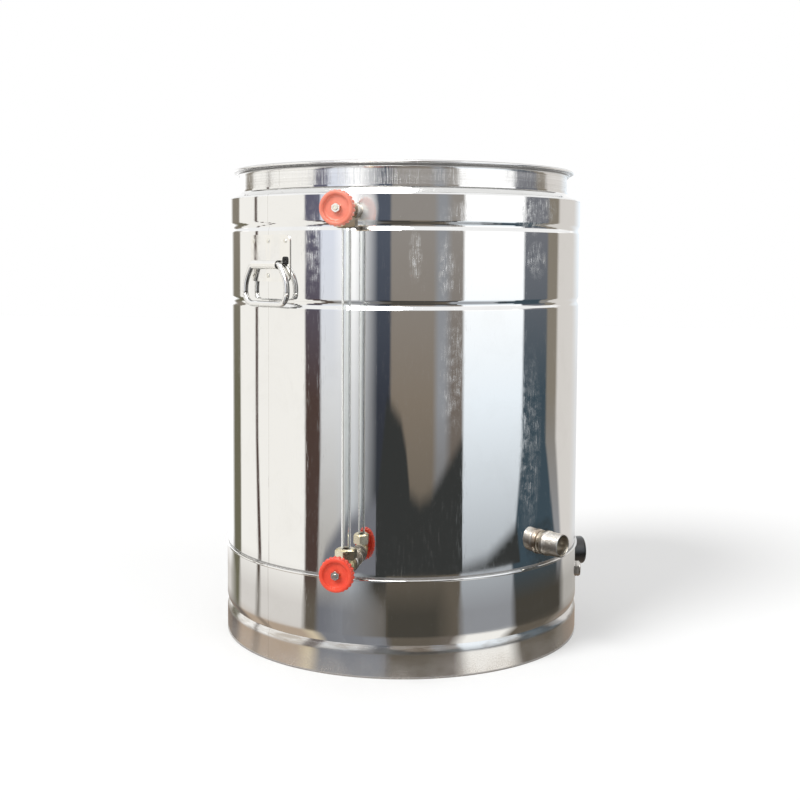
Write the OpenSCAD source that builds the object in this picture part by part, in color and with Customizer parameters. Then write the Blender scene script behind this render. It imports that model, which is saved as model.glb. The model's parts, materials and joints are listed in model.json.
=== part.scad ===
// Honey settling tank with a heated water jacket, a sight gauge and drop handles.
// Millimetres, Z up, origin on the floor at the tank's axis, gauge facing -Y.
// Fitting angles turn from the gauge (-Y) towards +X.

/* [Tank] */
// Outer diameter of the water jacket at its top band
jacket_d = 520; // [420:1:640]
// How much wider in radius the top band is than the jacket below it
band_step = 1; // [0.5:0.1:2]
// Sheet thickness of every rolled shell
sheet = 1.5; // [1.2:0.1:2]
// Width of the water space between the neck and the jacket's top band
water_gap = 20; // [18:0.5:36]
// Height of the base skirt, floor to its rolled top edge
skirt_h = 131; // [126:1:140]
// Height of the jacket above the skirt, up to the shoulder edge
jacket_h = 500; // [460:1:620]
// Height of the neck and lip above the shoulder edge
neck_h = 41; // [32:1:60]
// Gap between sheets and fittings that are welded or pressed together
slip_gap = 0.15; // [0.1:0.05:0.2]

/* [Rim] */
// How far the lip stands out from the neck
lip_out = 10; // [7:0.5:14]
// Height of the flared lip
lip_h = 11; // [9:0.5:16]
// Radius of the rolled edge
lip_roll_r = 1.8; // [1.4:0.1:2.2]
// Radius of the ridge below the rolled edge
ridge_r = 1.3; // [1:0.1:1.6]
// Share of the flare at which the ridge sits
ridge_share = 0.4; // [0.3:0.05:0.5]

/* [Shoulder] */
// Rise of the shoulder from its outer edge to the neck
shoulder_rise = 6; // [3:0.5:10]
// Height of the collar where the shoulder meets the neck
collar_h = 4.5; // [3:0.5:8]
// Corner radius of the shoulder's outer edge
corner_r = 3; // [2:0.5:5]
// Height of the flange that laps into the jacket
shoulder_lap = 9; // [7:0.5:12]

/* [Beads] */
// Height of a rolled bead
bead_h = 14; // [10:0.5:18]
// Depth of a rolled bead
bead_depth = 2.4; // [1.5:0.1:3]
// Distance from the shoulder edge down to the upper bead
bead_drop = 43; // [38:1:46]
// Distance from the upper bead down to the lower bead
bead_pitch = 102; // [96:1:112]

/* [Vessel and jacket floors] */
// Height of the inner vessel's floor at its edge
vessel_floor_z = 142; // [142:1:144]
// Sag of the vessel's floor from its edge to its centre
floor_dish = 3; // [2:0.5:4]
// Height of the flange turned up around the vessel's wall
vessel_flange_h = 12; // [8:1:14]
// Corner radius of a turned flange
turn_r = 4; // [3:0.5:5]
// Height of the water space's floor above the ground
jacket_floor_z = 118; // [114:1:119]
// Height of the flange turned up from the water space's floor
jacket_flange_h = 16; // [13:1:20]
// How far the jacket reaches down inside the skirt
jacket_lap = 11; // [8:1:12]

/* [Skirt and base] */
// Radius of the skirt's rolled top edge
skirt_roll_r = 1.7; // [1.2:0.1:2.2]
// Height of the swage's crease
swage_z = 43; // [38:1:48]
// Height of the swage's upper flank
swage_up = 13; // [9:1:16]
// Height of the swage's lower flank
swage_low = 11; // [8:1:12]
// Depth of the swage at its crease
swage_depth = 3.6; // [2.5:0.1:4.5]
// Width of the folded hem that stands on the floor
hem_w = 3.2; // [2.8:0.1:4]
// Height of the folded hem
hem_h = 6; // [5:0.5:7]
// Height of the base ring's ledge
ledge_z = 9; // [8.6:0.1:10]
// Height of the base ring's upright leg
ledge_leg = 13; // [10:1:15]
// Width of the base ring's ledge
ledge_w = 24; // [20:1:28]
// Distance of the cover's edge from the skirt
cover_inset = 9; // [7:0.5:11]
// Number of cover screws
cover_screws_n = 6; // [4:1:8]
// Radius of a cover screw's shank
screw_r = 2; // [1.8:0.1:2.2]
// Radius of a cover screw's head
screw_head_r = 4; // [3.5:0.1:4.5]
// Height of a cover screw's head
screw_head_h = 2.6; // [2.2:0.1:3]
// Length of a cover screw below its head
screw_l = 9; // [6:0.5:11]
// Width across flats of the key socket in a screw head
screw_key_af = 3; // [2.5:0.1:3.5]
// Depth of the key socket in a screw head
screw_key_h = 1.6; // [1.2:0.1:1.8]

/* [Sight gauge] */
// Height of the lower gauge valve
gauge_low_z = 157.5; // [150:0.5:165]
// Distance from the shoulder edge down to the upper gauge valve
gauge_drop = 24.5; // [23:0.5:27]
// Distance of the glass from the jacket
gauge_off = 42; // [40:0.5:48]
// Distance of the handwheel's front face from the glass
wheel_off = 48; // [47:0.5:54]
// Outer diameter of the glass tube
glass_d = 12; // [11.6:0.1:12.2]
// Wall of the glass tube
glass_wall = 1.6; // [1.2:0.1:2]
// Outer diameter of the sleeve welded to the jacket
sleeve_d = 18.5; // [17:0.5:20]
// Bore of the sleeve
sleeve_bore = 9; // [8:0.5:10]
// How far the sleeve reaches into the water space
sleeve_in = 8; // [5:1:10]
// Outer diameter of the sleeve's collar
sleeve_collar_d = 24; // [22:0.5:26]
// Length of the sleeve's collar
sleeve_collar_l = 5.5; // [4:0.5:7]
// Gap between the union nut's corners and the sleeve's collar
collar_gap = 0.6; // [0.4:0.1:2]
// Distance of the valve body's front face from the glass
body_front = 20; // [19:0.5:21]
// Outer diameter of the valve body's barrel
body_d = 20; // [19:0.5:22]
// Diameter of the ball around the valve body's branch
body_ball_d = 23; // [22.5:0.1:24]
// Diameter of the body's chamber
chamber_d = 11.6; // [11:0.1:12]
// Distance of the valve seat from the glass
seat_back = 6.5; // [6.2:0.1:7]
// Diameter of the valve seat's hole
seat_d = 5; // [4.6:0.1:5.4]
// Outer diameter of the threaded branch
branch_d = 17.6; // [17:0.1:18]
// Height of the threaded branch above the valve's axis
branch_h = 16; // [15.5:0.1:17]
// Height of the shoulder that the glass stands on
glass_step = 9; // [8.6:0.1:10]
// Diameter of the passage below the glass
passage_d = 8; // [7:0.1:8.4]
// Width across flats of the union nut
union_af = 25; // [24:0.1:26]
// Height of the union nut
union_h = 12.5; // [12:0.1:13]
// Height of the union nut's lower face above the valve's axis
union_z = 10.5; // [9.8:0.1:11.5]
// Thickness of the union nut's crown
union_crown = 2; // [1.6:0.1:2.4]
// Height of the round chamfer on the union nut
union_bevel = 2; // [1.5:0.1:2.5]
// Height of the rubber seal in the union nut
seal_h = 4; // [3:0.1:4.2]

/* [Handwheels] */
// Diameter over the handwheel's flutes
wheel_d = 45; // [43:0.5:50]
// Thickness of the handwheel's rim
wheel_h = 12.5; // [11:0.5:14]
// Width of the rim's front face
wheel_rim = 5; // [4.5:0.1:6]
// Depth of the dished face
wheel_dish = 4; // [3:0.1:4.4]
// Thickness of the web behind the dished face
wheel_web = 3.6; // [3:0.1:4.5]
// Diameter of the hub behind the web
wheel_hub_d = 15; // [13:0.5:17]
// Number of flutes around the rim
flutes_n = 24; // [16:1:30]
// Radius of a flute
flute_r = 2.4; // [2:0.1:2.8]
// Depth of a flute
flute_depth = 1.1; // [0.8:0.1:1.4]
// Rounding of the rim's edges
wheel_round = 3; // [2:0.1:3.2]
// Width of the plain rim in front of the flutes
wheel_lip = 4; // [3.2:0.1:5]
// Width across flats of the handwheel nut
wheel_nut_af = 10; // [9:0.5:12]
// Height of the handwheel nut
wheel_nut_h = 4.6; // [4:0.1:5.5]
// Diameter of the spindle in the gland
spindle_d = 7; // [6.6:0.1:7.4]
// Diameter of the spindle in the handwheel
spindle_end_d = 6; // [5:0.1:6.2]
// How far the spindle's end stands out of its nut
spindle_tail = 1.4; // [0.8:0.1:2]
// Running gap around the spindle
run_gap = 0.06; // [0.04:0.01:0.09]
// Width across flats of the gland nut
gland_nut_af = 17; // [16:0.5:18]
// Length of the gland nut's hexagon
gland_nut_l = 9; // [8:0.5:10]
// Length of the gland nut's thread inside the body
gland_nut_in = 7; // [6:0.5:8]
// Gap between the handwheel's hub and the gland nut
wheel_gap = 1.2; // [0.8:0.1:2]
// Length of the spindle's cone at the seat
cone_l = 3; // [2.5:0.1:3.4]
// Gap left at the closed seat
seat_gap = 0.3; // [0.2:0.05:0.4]

/* [Outlet] */
// Angle of the outlet from the gauge
outlet_angle = 61.5; // [45:0.5:75]
// Height of the outlet's axis
outlet_z = 161; // [161:0.5:168]
// Outer diameter of the outlet pipe
pipe_d = 29.2; // [28:0.1:30]
// Wall of the outlet pipe
pipe_wall = 1.9; // [1.6:0.1:2.4]
// How far the bare pipe stands out of the jacket
pipe_out = 12; // [11:0.5:20]
// Length of the threaded nipple
nipple_l = 21; // [18:0.5:45]
// Outer diameter of the nipple's thread
nipple_d = 32; // [31.6:0.1:33.2]
// Wall of the nipple at its mouth
nipple_wall = 2.2; // [1.8:0.1:2.4]
// Diameter of the nipple's raised ring
nipple_ring_d = 34; // [33.6:0.1:36]
// Length of the nipple's raised ring
nipple_ring_l = 7; // [5:0.5:9]
// Distance of the raised ring from the nipple's back end
nipple_ring_back = 2; // [1.5:0.1:4]
// How far the pipe plugs into the nipple
nipple_plug = 9; // [7:0.5:10]

/* [Handles] */
// Angle of the first handle from the gauge
handle_angle = -30; // [-40:1:-22]
// Angle between the two handles
handle_spread = 180; // [165:1:195]
// Distance from the shoulder edge down to the handle's pivot
handle_drop = 94; // [88:1:104]
// Width of the handle plate
plate_w = 80; // [76:1:90]
// Height of the handle plate
plate_h = 62; // [56:1:66]
// Share of the plate's height below the pivot
plate_low_share = 0.36; // [0.32:0.01:0.42]
// Corner radius of the handle plate
plate_r = 8; // [5:0.5:11]
// Diameter of the handle's rod
rod_d = 8; // [7:0.1:8]
// Gap around the rod in its hump
rod_gap = 0.4; // [0.3:0.05:0.6]
// Length of the hump that holds the rod
hump_l = 50; // [44:0.5:50]
// Distance between the ring's legs at the pivot
ring_top_w = 58; // [58:1:64]
// Distance between the ring's legs at the grip
ring_low_w = 86; // [80:1:92]
// Drop of the ring from its pivot to the grip
ring_drop = 52; // [46:1:60]
// Bend radius of the ring's lower corners
ring_bend = 9; // [7:0.5:10]
// Bend radius of the ring's upper corners
top_bend = 4.5; // [4:0.1:4.8]
// Radius of a rivet's head
rivet_r = 3; // [2.5:0.1:3.5]
// Height of a rivet's head
rivet_h = 1; // [0.8:0.1:1.4]
// Distance between rivets in a row
rivet_pitch = 32; // [28:1:32]
// Distance of a rivet row from the plate's edge
rivet_edge = 8; // [6:0.5:9]

/* [Thermostat] */
// Angle of the thermostat from the gauge
stat_angle = 111; // [100:1:118]
// Height of the thermostat's axis
stat_z = 99; // [94:0.5:102]
// Diameter of the knob
knob_d = 42; // [38:0.5:44]
// Thickness of the knob
knob_h = 19; // [16:0.5:22]
// Rounding of the knob's front edge
knob_round = 4.5; // [3:0.5:6]
// Gap between the knob and the screws behind it
knob_gap = 0.8; // [0.5:0.1:1.2]
// Depth of the hollow behind the knob
knob_hollow = 12; // [10:0.5:13]
// Wall of the knob
knob_wall = 2.4; // [2:0.1:3]
// Diameter of the knob's boss
knob_boss_d = 11; // [10:0.5:13]
// Width of the pointer groove on the knob's face
pointer_w = 2.4; // [1.6:0.1:3]
// Depth of the pointer groove on the knob's face
pointer_h = 1; // [0.8:0.1:1.4]
// Diameter of the thermostat's shaft
stat_shaft_d = 6; // [5.6:0.1:6.4]
// Outer diameter of the thermostat's bush
stat_bush_d = 10; // [9:0.5:11]
// Width of the thermostat's case
stat_w = 40; // [36:1:44]
// Height of the thermostat's case
stat_h = 34; // [30:1:38]
// Depth of the thermostat's case
stat_depth = 28; // [24:1:34]
// Distance of the case from the skirt's inner face
stat_back = 1.4; // [1.2:0.1:1.6]
// Distance between the two thermostat screws
stat_pitch = 28; // [26:0.5:30]
// Distance of the sensor from the thermostat's case
sensor_gap = 34; // [26:1:45]
// Outer diameter of the sensor's pocket
pocket_d = 10; // [9:0.5:11]
// Height of the sensor's pocket above the water space's floor
pocket_up = 16; // [12:1:20]
// Length of the sensor's pocket below the floor
pocket_low = 10; // [8:1:12]
// Wall of the sensor's pocket
pocket_wall = 1.2; // [1:0.1:1.4]
// Diameter of the sensor bulb
bulb_d = 6; // [5:0.1:6.4]
// Diameter of the capillary tube
capillary_d = 2; // [1.6:0.1:2.4]
// Bend radius of the capillary tube
capillary_bend = 9; // [7:0.5:10]

/* [Heater] */
// Distance of the heating element's loop from the sensor
heater_gap = 46; // [32:1:70]
// Diameter of the heating element's tube
heater_d = 8.4; // [7.6:0.1:9]
// Height of the loop above the water space's floor
heater_up = 15.5; // [15.5:0.1:16]
// Bend radius at the heating element's ends
heater_bend = 10; // [9:0.5:11]
// Angle left open between the heating element's ends
heater_open = 30; // [24:1:50]
// Direction of the heating element's open side from the gauge
heater_angle = 90; // [75:1:120]
// Length of the heating element's legs below the floor
heater_leg = 30; // [24:1:36]
// Width across flats of the heating element's nuts
heater_nut_af = 19; // [17:0.5:22]
// Height of the heating element's nuts
heater_nut_h = 8; // [6:0.5:10]
// Outer diameter of the heating element's washers
heater_washer_d = 20; // [17:0.5:22]
// Thickness of the heating element's washers
heater_washer_h = 2.5; // [2:0.1:3]
// Diameter of the terminal's insulator
insulator_d = 11; // [10:0.5:12]
// Height of the terminal's insulator
insulator_h = 9; // [7:0.5:11]
// Diameter of the terminal's stud
stud_d = 4; // [3:0.1:5]
// Length of the terminal's stud
stud_l = 10; // [8:0.5:12]

/* [Cable gland] */
// Angle of the cable gland from the gauge
gland_angle = 97; // [93:1:99]
// Height of the cable gland's axis
gland_z = 87; // [84:0.5:90]
// Width across flats of the gland's hexagons
gland_af = 20; // [18:0.5:22]
// Thickness of the gland's flange
gland_flange_h = 2.5; // [2:0.5:5]
// Diameter of the gland's thread
gland_thread_d = 15.6; // [14:0.1:16]
// Diameter of the cable hole
gland_bore = 8; // [7:0.5:9]
// Length of the gland's dome nut
gland_dome_h = 5; // [4.5:0.5:12]
// Length of the thread under the dome nut
gland_neck_l = 3; // [2.5:0.1:3.2]
// Thickness of the gland's locknut
gland_lock_h = 4; // [3:0.5:5]
// How far the thread reaches inside the skirt
gland_in = 9; // [8:0.5:12]

/* [Water connections] */
// Angle of the filling socket from the gauge
fill_angle = 190; // [180:1:215]
// Angle of the drain socket from the gauge
drain_angle = 215; // [205:1:240]
// Outer diameter of a water socket
socket_d = 24; // [22:0.5:26]
// Bore of a water socket
socket_bore = 15; // [14:0.5:16]
// Gap between the filling socket and the shoulder's flange
socket_gap = 2; // [1:0.5:6]
// How far a water socket stands out of the jacket
socket_out = 10; // [8:0.5:12]
// How far a water socket reaches into the water space
socket_in = 6; // [4:0.5:10]
// Width across flats of a plug's head
plug_af = 19; // [17:0.5:21]
// Height of a plug's head
plug_h = 7; // [5:0.5:9]
// Thickness of a plug's round flange
plug_flange_h = 2; // [1.5:0.1:2.5]
// Length of a plug inside its socket
plug_in = 9; // [7:0.5:10]

/* [View] */
// Piece to draw

/* [Hidden] */
$fn = 96;
over = 1;
flat_share = cos(30);
edge_bevel = 1;
rod_step = 0.05;
rod_in = 0.5;
bead_steps = 14;
arc_steps = 8;
jacket_r = jacket_d / 2;
body_r = jacket_r - band_step;
neck_r = jacket_r - water_gap;
vessel_r = neck_r - sheet;
skirt_in_r = body_r + slip_gap;
skirt_r = skirt_in_r + sheet;
seam_z = skirt_h;
shoulder_z = seam_z + jacket_h;
rim_z = shoulder_z + neck_h;
lip_z = rim_z - lip_h;
lip_r = neck_r + lip_out;
bead_top_z = shoulder_z - bead_drop;
bead_low_z = bead_top_z - bead_pitch;
shell_low_z = seam_z - jacket_lap;
shell_top_z = shoulder_z - sheet;
vessel_low_z = vessel_floor_z + slip_gap;
glass_r = body_r + gauge_off;
body_back = union_af / 2 / flat_share + collar_gap;
gauge_top_z = shoulder_z - gauge_drop;
wheel_front = wheel_off;
wheel_back = wheel_off - wheel_h;
dish_back = wheel_off - wheel_dish;
web_back = dish_back - wheel_web;
hub_back = body_front + gland_nut_l + wheel_gap;
outlet_mouth = body_r + pipe_out + nipple_l;
nipple_back = body_r + pipe_out - nipple_plug;

function dip(z, mid) = abs(z - mid) < bead_h / 2 ? bead_depth * (1 + cos(360 * (z - mid) / bead_h)) / 2 : 0;
function band_share(z) = min(1, max(0, (z - bead_top_z + bead_h / 2) / bead_h));
function shell_r(z) = body_r + band_step * band_share(z) - dip(z, bead_top_z) - dip(z, bead_low_z);
function bead_zs(mid) = [for (i = [0:bead_steps]) mid - bead_h / 2 + bead_h * i / bead_steps];

handle_z = shoulder_z - handle_drop;
plate_z = handle_z - plate_h * plate_low_share;
plate_in_r = body_r + band_step * band_share(plate_z + plate_h) + slip_gap;
plate_out_r = plate_in_r + sheet;
hole_r = rod_d / 2 + rod_gap;
hump_r = hole_r + sheet;
rod_x = plate_out_r + hole_r + slip_gap;
screw_circle = skirt_in_r - ledge_w / 2;
cover_top_z = ledge_z - slip_gap;
cover_low_z = cover_top_z - sheet;
stat_front = skirt_in_r - stat_back;
sensor_r = stat_front - stat_depth - sensor_gap;
heater_loop_r = sensor_r - heater_gap;
stat_screw_x = skirt_r + slip_gap;
knob_back = stat_screw_x + screw_head_h + knob_gap;
capillary_z = jacket_floor_z - pocket_low - capillary_bend;
heater_z = jacket_floor_z + heater_up;
heater_foot_z = jacket_floor_z - heater_leg;
gland_x = skirt_r + slip_gap;
socket_x = body_r + socket_out;
fill_z = shell_top_z - shoulder_lap - socket_gap - socket_d / 2;

shell_zs = concat([shell_low_z], bead_zs(bead_low_z), bead_zs(bead_top_z), [shell_top_z]);

function crease(share) = swage_depth * (1 - sin(90 * share));
low_flank = [for (i = [0:arc_steps]) [skirt_r - crease(1 - i / arc_steps),
    swage_z - swage_low * (1 - i / arc_steps)]];
up_flank = [for (i = [1:arc_steps]) [skirt_r - crease(i / arc_steps), swage_z + swage_up * i / arc_steps]];
top_roll = [for (i = [0:arc_steps]) [skirt_r + skirt_roll_r * cos(180 * i / arc_steps - 90),
    seam_z - skirt_roll_r + skirt_roll_r * sin(180 * i / arc_steps - 90)]];
swage_wall = concat(low_flank, up_flank);

// Places a fitting: X points out of the tank, Z stays up.
module around(angle, z = 0) {
    rotate([0, 0, angle - 90]) translate([0, 0, z]) children();
}

// A cylinder along X from one radius to another.
module bar(from, to, r) {
    translate([from, 0, 0]) rotate([0, 90, 0]) cylinder(h = to - from, r = r);
}

// A cone along X.
module taper(from, to, r1, r2) {
    translate([from, 0, 0]) rotate([0, 90, 0]) cylinder(h = to - from, r1 = r1, r2 = r2);
}

// A hexagonal prism along X, by its width across flats.
module hex_bar(from, to, af) {
    translate([from, 0, 0]) rotate([0, 90, 0]) cylinder(h = to - from, r = af / 2 / flat_share, $fn = 6);
}

module hex_post(z, h, af) {
    translate([0, 0, z]) cylinder(h = h, r = af / 2 / flat_share, $fn = 6);
}

// A nut's chamfered envelope along X.
module round_bar(from, to, r, bevel) {
    bar(from, to - bevel, r);
    taper(to - bevel, to, r, r - bevel);
}

// Inner vessel wall with the flared, rolled lip.
module inner_wall() {
    flare_h = lip_h - 2 * lip_roll_r;
    flare_out = lip_out - lip_roll_r;
    out_side = [for (i = [0:arc_steps]) [neck_r + flare_out * (1 - cos(90 * i / arc_steps)),
        lip_z + flare_h * sin(90 * i / arc_steps)]];
    in_side = [for (i = [arc_steps:-1:0]) [vessel_r + flare_out * (1 - cos(90 * i / arc_steps)),
        lip_z + flare_h * sin(90 * i / arc_steps) + sheet * sin(90 * i / arc_steps)]];
    ridge_x = neck_r + flare_out * (1 - cos(90 * ridge_share)) + ridge_r * (1 - ridge_share);
    ridge_z = lip_z + flare_h * sin(90 * ridge_share);
    color([0.78, 0.78, 0.77]) difference() {
        rotate_extrude() union() {
            polygon(concat([[vessel_r, vessel_low_z], [neck_r, vessel_low_z]], out_side, in_side));
            translate([lip_r - lip_roll_r, rim_z - lip_roll_r]) circle(r = lip_roll_r);
            translate([ridge_x, ridge_z]) circle(r = ridge_r);
        }
        around(outlet_angle, outlet_z) bar(vessel_r - over * 2, neck_r + over, pipe_d / 2 + slip_gap);
    }
}

// Dished floor of the inner vessel, with a flange turned up around the wall.
module vessel_bottom() {
    in_r = neck_r + slip_gap;
    edge = in_r + sheet;
    fold_r = turn_r - sheet;
    low_z = vessel_floor_z - sheet;
    arc = [for (i = [0:arc_steps]) [edge - fold_r + fold_r * cos(90 * i / arc_steps),
        low_z + fold_r - fold_r * sin(90 * i / arc_steps)]];
    color([0.76, 0.76, 0.75]) difference() {
        rotate_extrude() polygon(concat([[0, vessel_floor_z - floor_dish],
            [vessel_r - turn_r, vessel_floor_z], [in_r, vessel_floor_z],
            [in_r, vessel_floor_z + vessel_flange_h], [edge, vessel_floor_z + vessel_flange_h]], arc,
            [[vessel_r - turn_r, low_z], [0, low_z - floor_dish]]));
        around(outlet_angle, outlet_z) bar(vessel_r, edge + over, pipe_d / 2 + slip_gap);
    }
}

// Sloped ring that closes the water space at the top.
module shoulder_ring() {
    in_r = neck_r + slip_gap;
    lap_r = jacket_r - sheet - slip_gap;
    arc = [for (i = [0:arc_steps]) [jacket_r - corner_r + corner_r * cos(90 * i / arc_steps),
        shoulder_z - corner_r + corner_r * sin(90 * i / arc_steps)]];
    color([0.79, 0.79, 0.78]) rotate_extrude() polygon(concat([[lap_r, shell_top_z - shoulder_lap],
        [lap_r, shoulder_z - corner_r], [jacket_r, shoulder_z - corner_r]], arc,
        [[in_r + sheet + collar_h / 2, shoulder_z + shoulder_rise],
        [in_r + sheet, shoulder_z + shoulder_rise + collar_h / 2],
        [in_r + sheet, shoulder_z + shoulder_rise + collar_h],
        [in_r, shoulder_z + shoulder_rise + collar_h], [in_r, shoulder_z + shoulder_rise - sheet],
        [lap_r - sheet, shoulder_z - corner_r], [lap_r - sheet, shell_top_z - shoulder_lap]]));
}

// Water jacket's shell with two rolled beads and its openings.
module jacket_shell() {
    top = [for (z = shell_zs) [shell_r(z), min(z, shoulder_z - corner_r - slip_gap)]];
    back = [for (i = [len(shell_zs) - 1:-1:0]) [shell_r(shell_zs[i]) - sheet,
        min(shell_zs[i], shoulder_z - corner_r - slip_gap)]];
    color([0.77, 0.77, 0.76]) difference() {
        rotate_extrude() polygon(concat(top, back));
        for (z = [gauge_low_z, gauge_top_z])
            around(0, z) bar(body_r - over * 4, jacket_r + over, sleeve_d / 2 + slip_gap);
        around(outlet_angle, outlet_z) bar(body_r - over * 4, jacket_r + over, pipe_d / 2 + slip_gap);
        around(fill_angle, fill_z) bar(body_r - over * 4, jacket_r + over, socket_d / 2 + slip_gap);
        around(drain_angle, gauge_low_z) bar(body_r - over * 4, jacket_r + over, socket_d / 2 + slip_gap);
    }
}

module at_heater_ends() {
    for (side = [-1, 1])
        around(heater_angle + side * heater_open / 2, 0) translate([heater_loop_r, -side * heater_bend, 0])
            children();
}

// Pan that closes the water space below, with holes for the heater and the sensor.
module jacket_floor() {
    edge = body_r - sheet - slip_gap;
    top_z = jacket_floor_z + jacket_flange_h;
    color([0.74, 0.74, 0.73]) difference() {
        rotate_extrude() polygon([[0, jacket_floor_z], [edge - turn_r, jacket_floor_z],
            [edge, jacket_floor_z + turn_r], [edge, top_z], [edge - sheet, top_z],
            [edge - sheet, jacket_floor_z + turn_r], [edge - turn_r, jacket_floor_z + sheet],
            [0, jacket_floor_z + sheet]]);
        at_heater_ends() translate([0, 0, jacket_floor_z - over])
            cylinder(h = sheet + over * 2, r = heater_d / 2 + slip_gap);
        around(stat_angle, jacket_floor_z - over) translate([sensor_r, 0, 0])
            cylinder(h = sheet + over * 2, r = pocket_d / 2 + slip_gap);
    }
}

// Base skirt: folded hem, swage, and a rolled edge over the jacket.
module base_skirt() {
    in_wall = [for (i = [len(swage_wall) - 1:-1:0]) [swage_wall[i][0] - sheet, swage_wall[i][1]]];
    color([0.75, 0.75, 0.74]) difference() {
        rotate_extrude() polygon(concat([[skirt_r - hem_w, 0], [skirt_r, 0]], swage_wall, top_roll,
            [[skirt_in_r, seam_z]], in_wall, [[skirt_in_r, hem_h + sheet], [skirt_r - hem_w, hem_h]]));
        around(stat_angle, stat_z) {
            bar(body_r - over * 4, skirt_r + over, stat_bush_d / 2 + slip_gap);
            for (side = [-1, 1])
                translate([0, side * stat_pitch / 2, 0])
                    bar(body_r - over * 4, skirt_r + over, screw_r + slip_gap);
        }
        around(gland_angle, gland_z) bar(body_r - over * 4, skirt_r + over, gland_thread_d / 2 + slip_gap);
    }
}

module at_cover_screws() {
    for (i = [0:cover_screws_n - 1])
        rotate([0, 0, 360 * i / cover_screws_n]) translate([screw_circle, 0, 0]) children();
}

// Angle ring inside the skirt that carries the base cover.
module base_ring() {
    edge = skirt_in_r - slip_gap;
    color([0.7, 0.7, 0.69]) difference() {
        rotate_extrude() polygon([[edge - ledge_w, ledge_z], [edge, ledge_z], [edge, ledge_z + ledge_leg],
            [edge - sheet, ledge_z + ledge_leg], [edge - sheet, ledge_z + sheet],
            [edge - ledge_w, ledge_z + sheet]]);
        at_cover_screws() translate([0, 0, ledge_z - over])
            cylinder(h = sheet + over * 2, r = screw_r + slip_gap);
    }
}

module base_cover() {
    color([0.68, 0.68, 0.67]) difference() {
        translate([0, 0, cover_low_z]) cylinder(h = sheet, r = skirt_in_r - cover_inset);
        at_cover_screws() translate([0, 0, cover_low_z - over])
            cylinder(h = sheet + over * 2, r = screw_r + slip_gap);
    }
}

// A button-head screw along Z, head below.
module button_screw(length) {
    difference() {
        union() {
            cylinder(h = length, r = screw_r);
            translate([0, 0, -screw_head_h])
                cylinder(h = screw_head_h, r1 = screw_head_r - edge_bevel, r2 = screw_head_r);
        }
        hex_post(-screw_head_h - over, screw_key_h + over, screw_key_af);
    }
}

module cover_screws() {
    color([0.6, 0.6, 0.6]) at_cover_screws() translate([0, 0, cover_low_z - slip_gap]) button_screw(screw_l);
}

// Honey outlet: a pipe through both walls, ending flush inside the vessel.
module outlet_pipe() {
    color([0.82, 0.78, 0.62]) difference() {
        around(outlet_angle, outlet_z) difference() {
            bar(vessel_r - over * 4, body_r + pipe_out, pipe_d / 2);
            bar(vessel_r - over * 5, body_r + pipe_out + over, pipe_d / 2 - pipe_wall);
        }
        translate([0, 0, vessel_floor_z - over]) cylinder(h = jacket_h, r = vessel_r);
    }
}

module outlet_nipple() {
    plug_end = nipple_back + nipple_plug;
    ring_start = nipple_back + nipple_ring_back;
    ring_end = ring_start + nipple_ring_l;
    color([0.82, 0.81, 0.78]) around(outlet_angle, outlet_z) difference() {
        union() {
            taper(nipple_back, nipple_back + edge_bevel, nipple_d / 2 - edge_bevel, nipple_d / 2);
            bar(nipple_back + edge_bevel, outlet_mouth - edge_bevel, nipple_d / 2);
            taper(outlet_mouth - edge_bevel, outlet_mouth, nipple_d / 2, nipple_d / 2 - edge_bevel);
            taper(ring_start, ring_start + edge_bevel, nipple_d / 2, nipple_ring_d / 2);
            bar(ring_start + edge_bevel, ring_end - edge_bevel, nipple_ring_d / 2);
            taper(ring_end - edge_bevel, ring_end, nipple_ring_d / 2, nipple_d / 2);
        }
        bar(nipple_back - over, plug_end + slip_gap, pipe_d / 2 + slip_gap);
        bar(nipple_back, outlet_mouth + over, nipple_d / 2 - nipple_wall);
    }
}

// Gauge pieces are drawn from the glass outwards: X = 0 is the glass, X grows to the handwheel.
module at_valve(top) {
    around(0, top ? gauge_top_z : gauge_low_z) translate([glass_r, 0, 0])
        mirror([0, 0, top ? 1 : 0]) children();
}

// Plated sleeve welded into the jacket, with the collar that the valve screws into.
module gauge_sleeve(top) {
    back = -gauge_off - sleeve_in;
    color([0.83, 0.82, 0.8]) at_valve(top) difference() {
        union() {
            bar(back, -body_back, sleeve_d / 2);
            round_bar(-body_back - sleeve_collar_l, -body_back, sleeve_collar_d / 2, edge_bevel);
        }
        bar(back - over, -body_back + over, sleeve_bore / 2);
    }
}

module lower_sleeve() {
    gauge_sleeve(false);
}

module upper_sleeve() {
    gauge_sleeve(true);
}

// Brass angle body: seat, chamber, and the threaded branch for the glass.
module valve_body(top) {
    color([0.8, 0.66, 0.32]) at_valve(top) difference() {
        union() {
            bar(-body_back, body_front, body_d / 2);
            sphere(r = body_ball_d / 2);
            cylinder(h = branch_h, r = branch_d / 2);
        }
        translate([-body_back - over * 2, -body_d, -body_d])
            cube([over * 2, body_d * 2, body_d * 2]);
        bar(-body_back - over, 0, seat_d / 2);
        bar(-seat_back, body_front + over, chamber_d / 2);
        cylinder(h = branch_h + over, r = passage_d / 2);
        translate([0, 0, glass_step]) cylinder(h = branch_h, r = glass_d / 2 + slip_gap);
    }
}

module lower_valve_body() {
    valve_body(false);
}

module upper_valve_body() {
    valve_body(true);
}

// Gland nut that carries the spindle.
module gland_nut(top) {
    color([0.79, 0.65, 0.3]) at_valve(top) difference() {
        union() {
            bar(body_front - gland_nut_in, body_front, chamber_d / 2 - slip_gap);
            intersection() {
                hex_bar(body_front, body_front + gland_nut_l, gland_nut_af);
                round_bar(body_front, body_front + gland_nut_l, gland_nut_af / 2 / flat_share, edge_bevel);
            }
        }
        bar(body_front - gland_nut_in - over, body_front + gland_nut_l + over, spindle_d / 2 + run_gap);
    }
}

module lower_gland_nut() {
    gland_nut(false);
}

module upper_gland_nut() {
    gland_nut(true);
}

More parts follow.
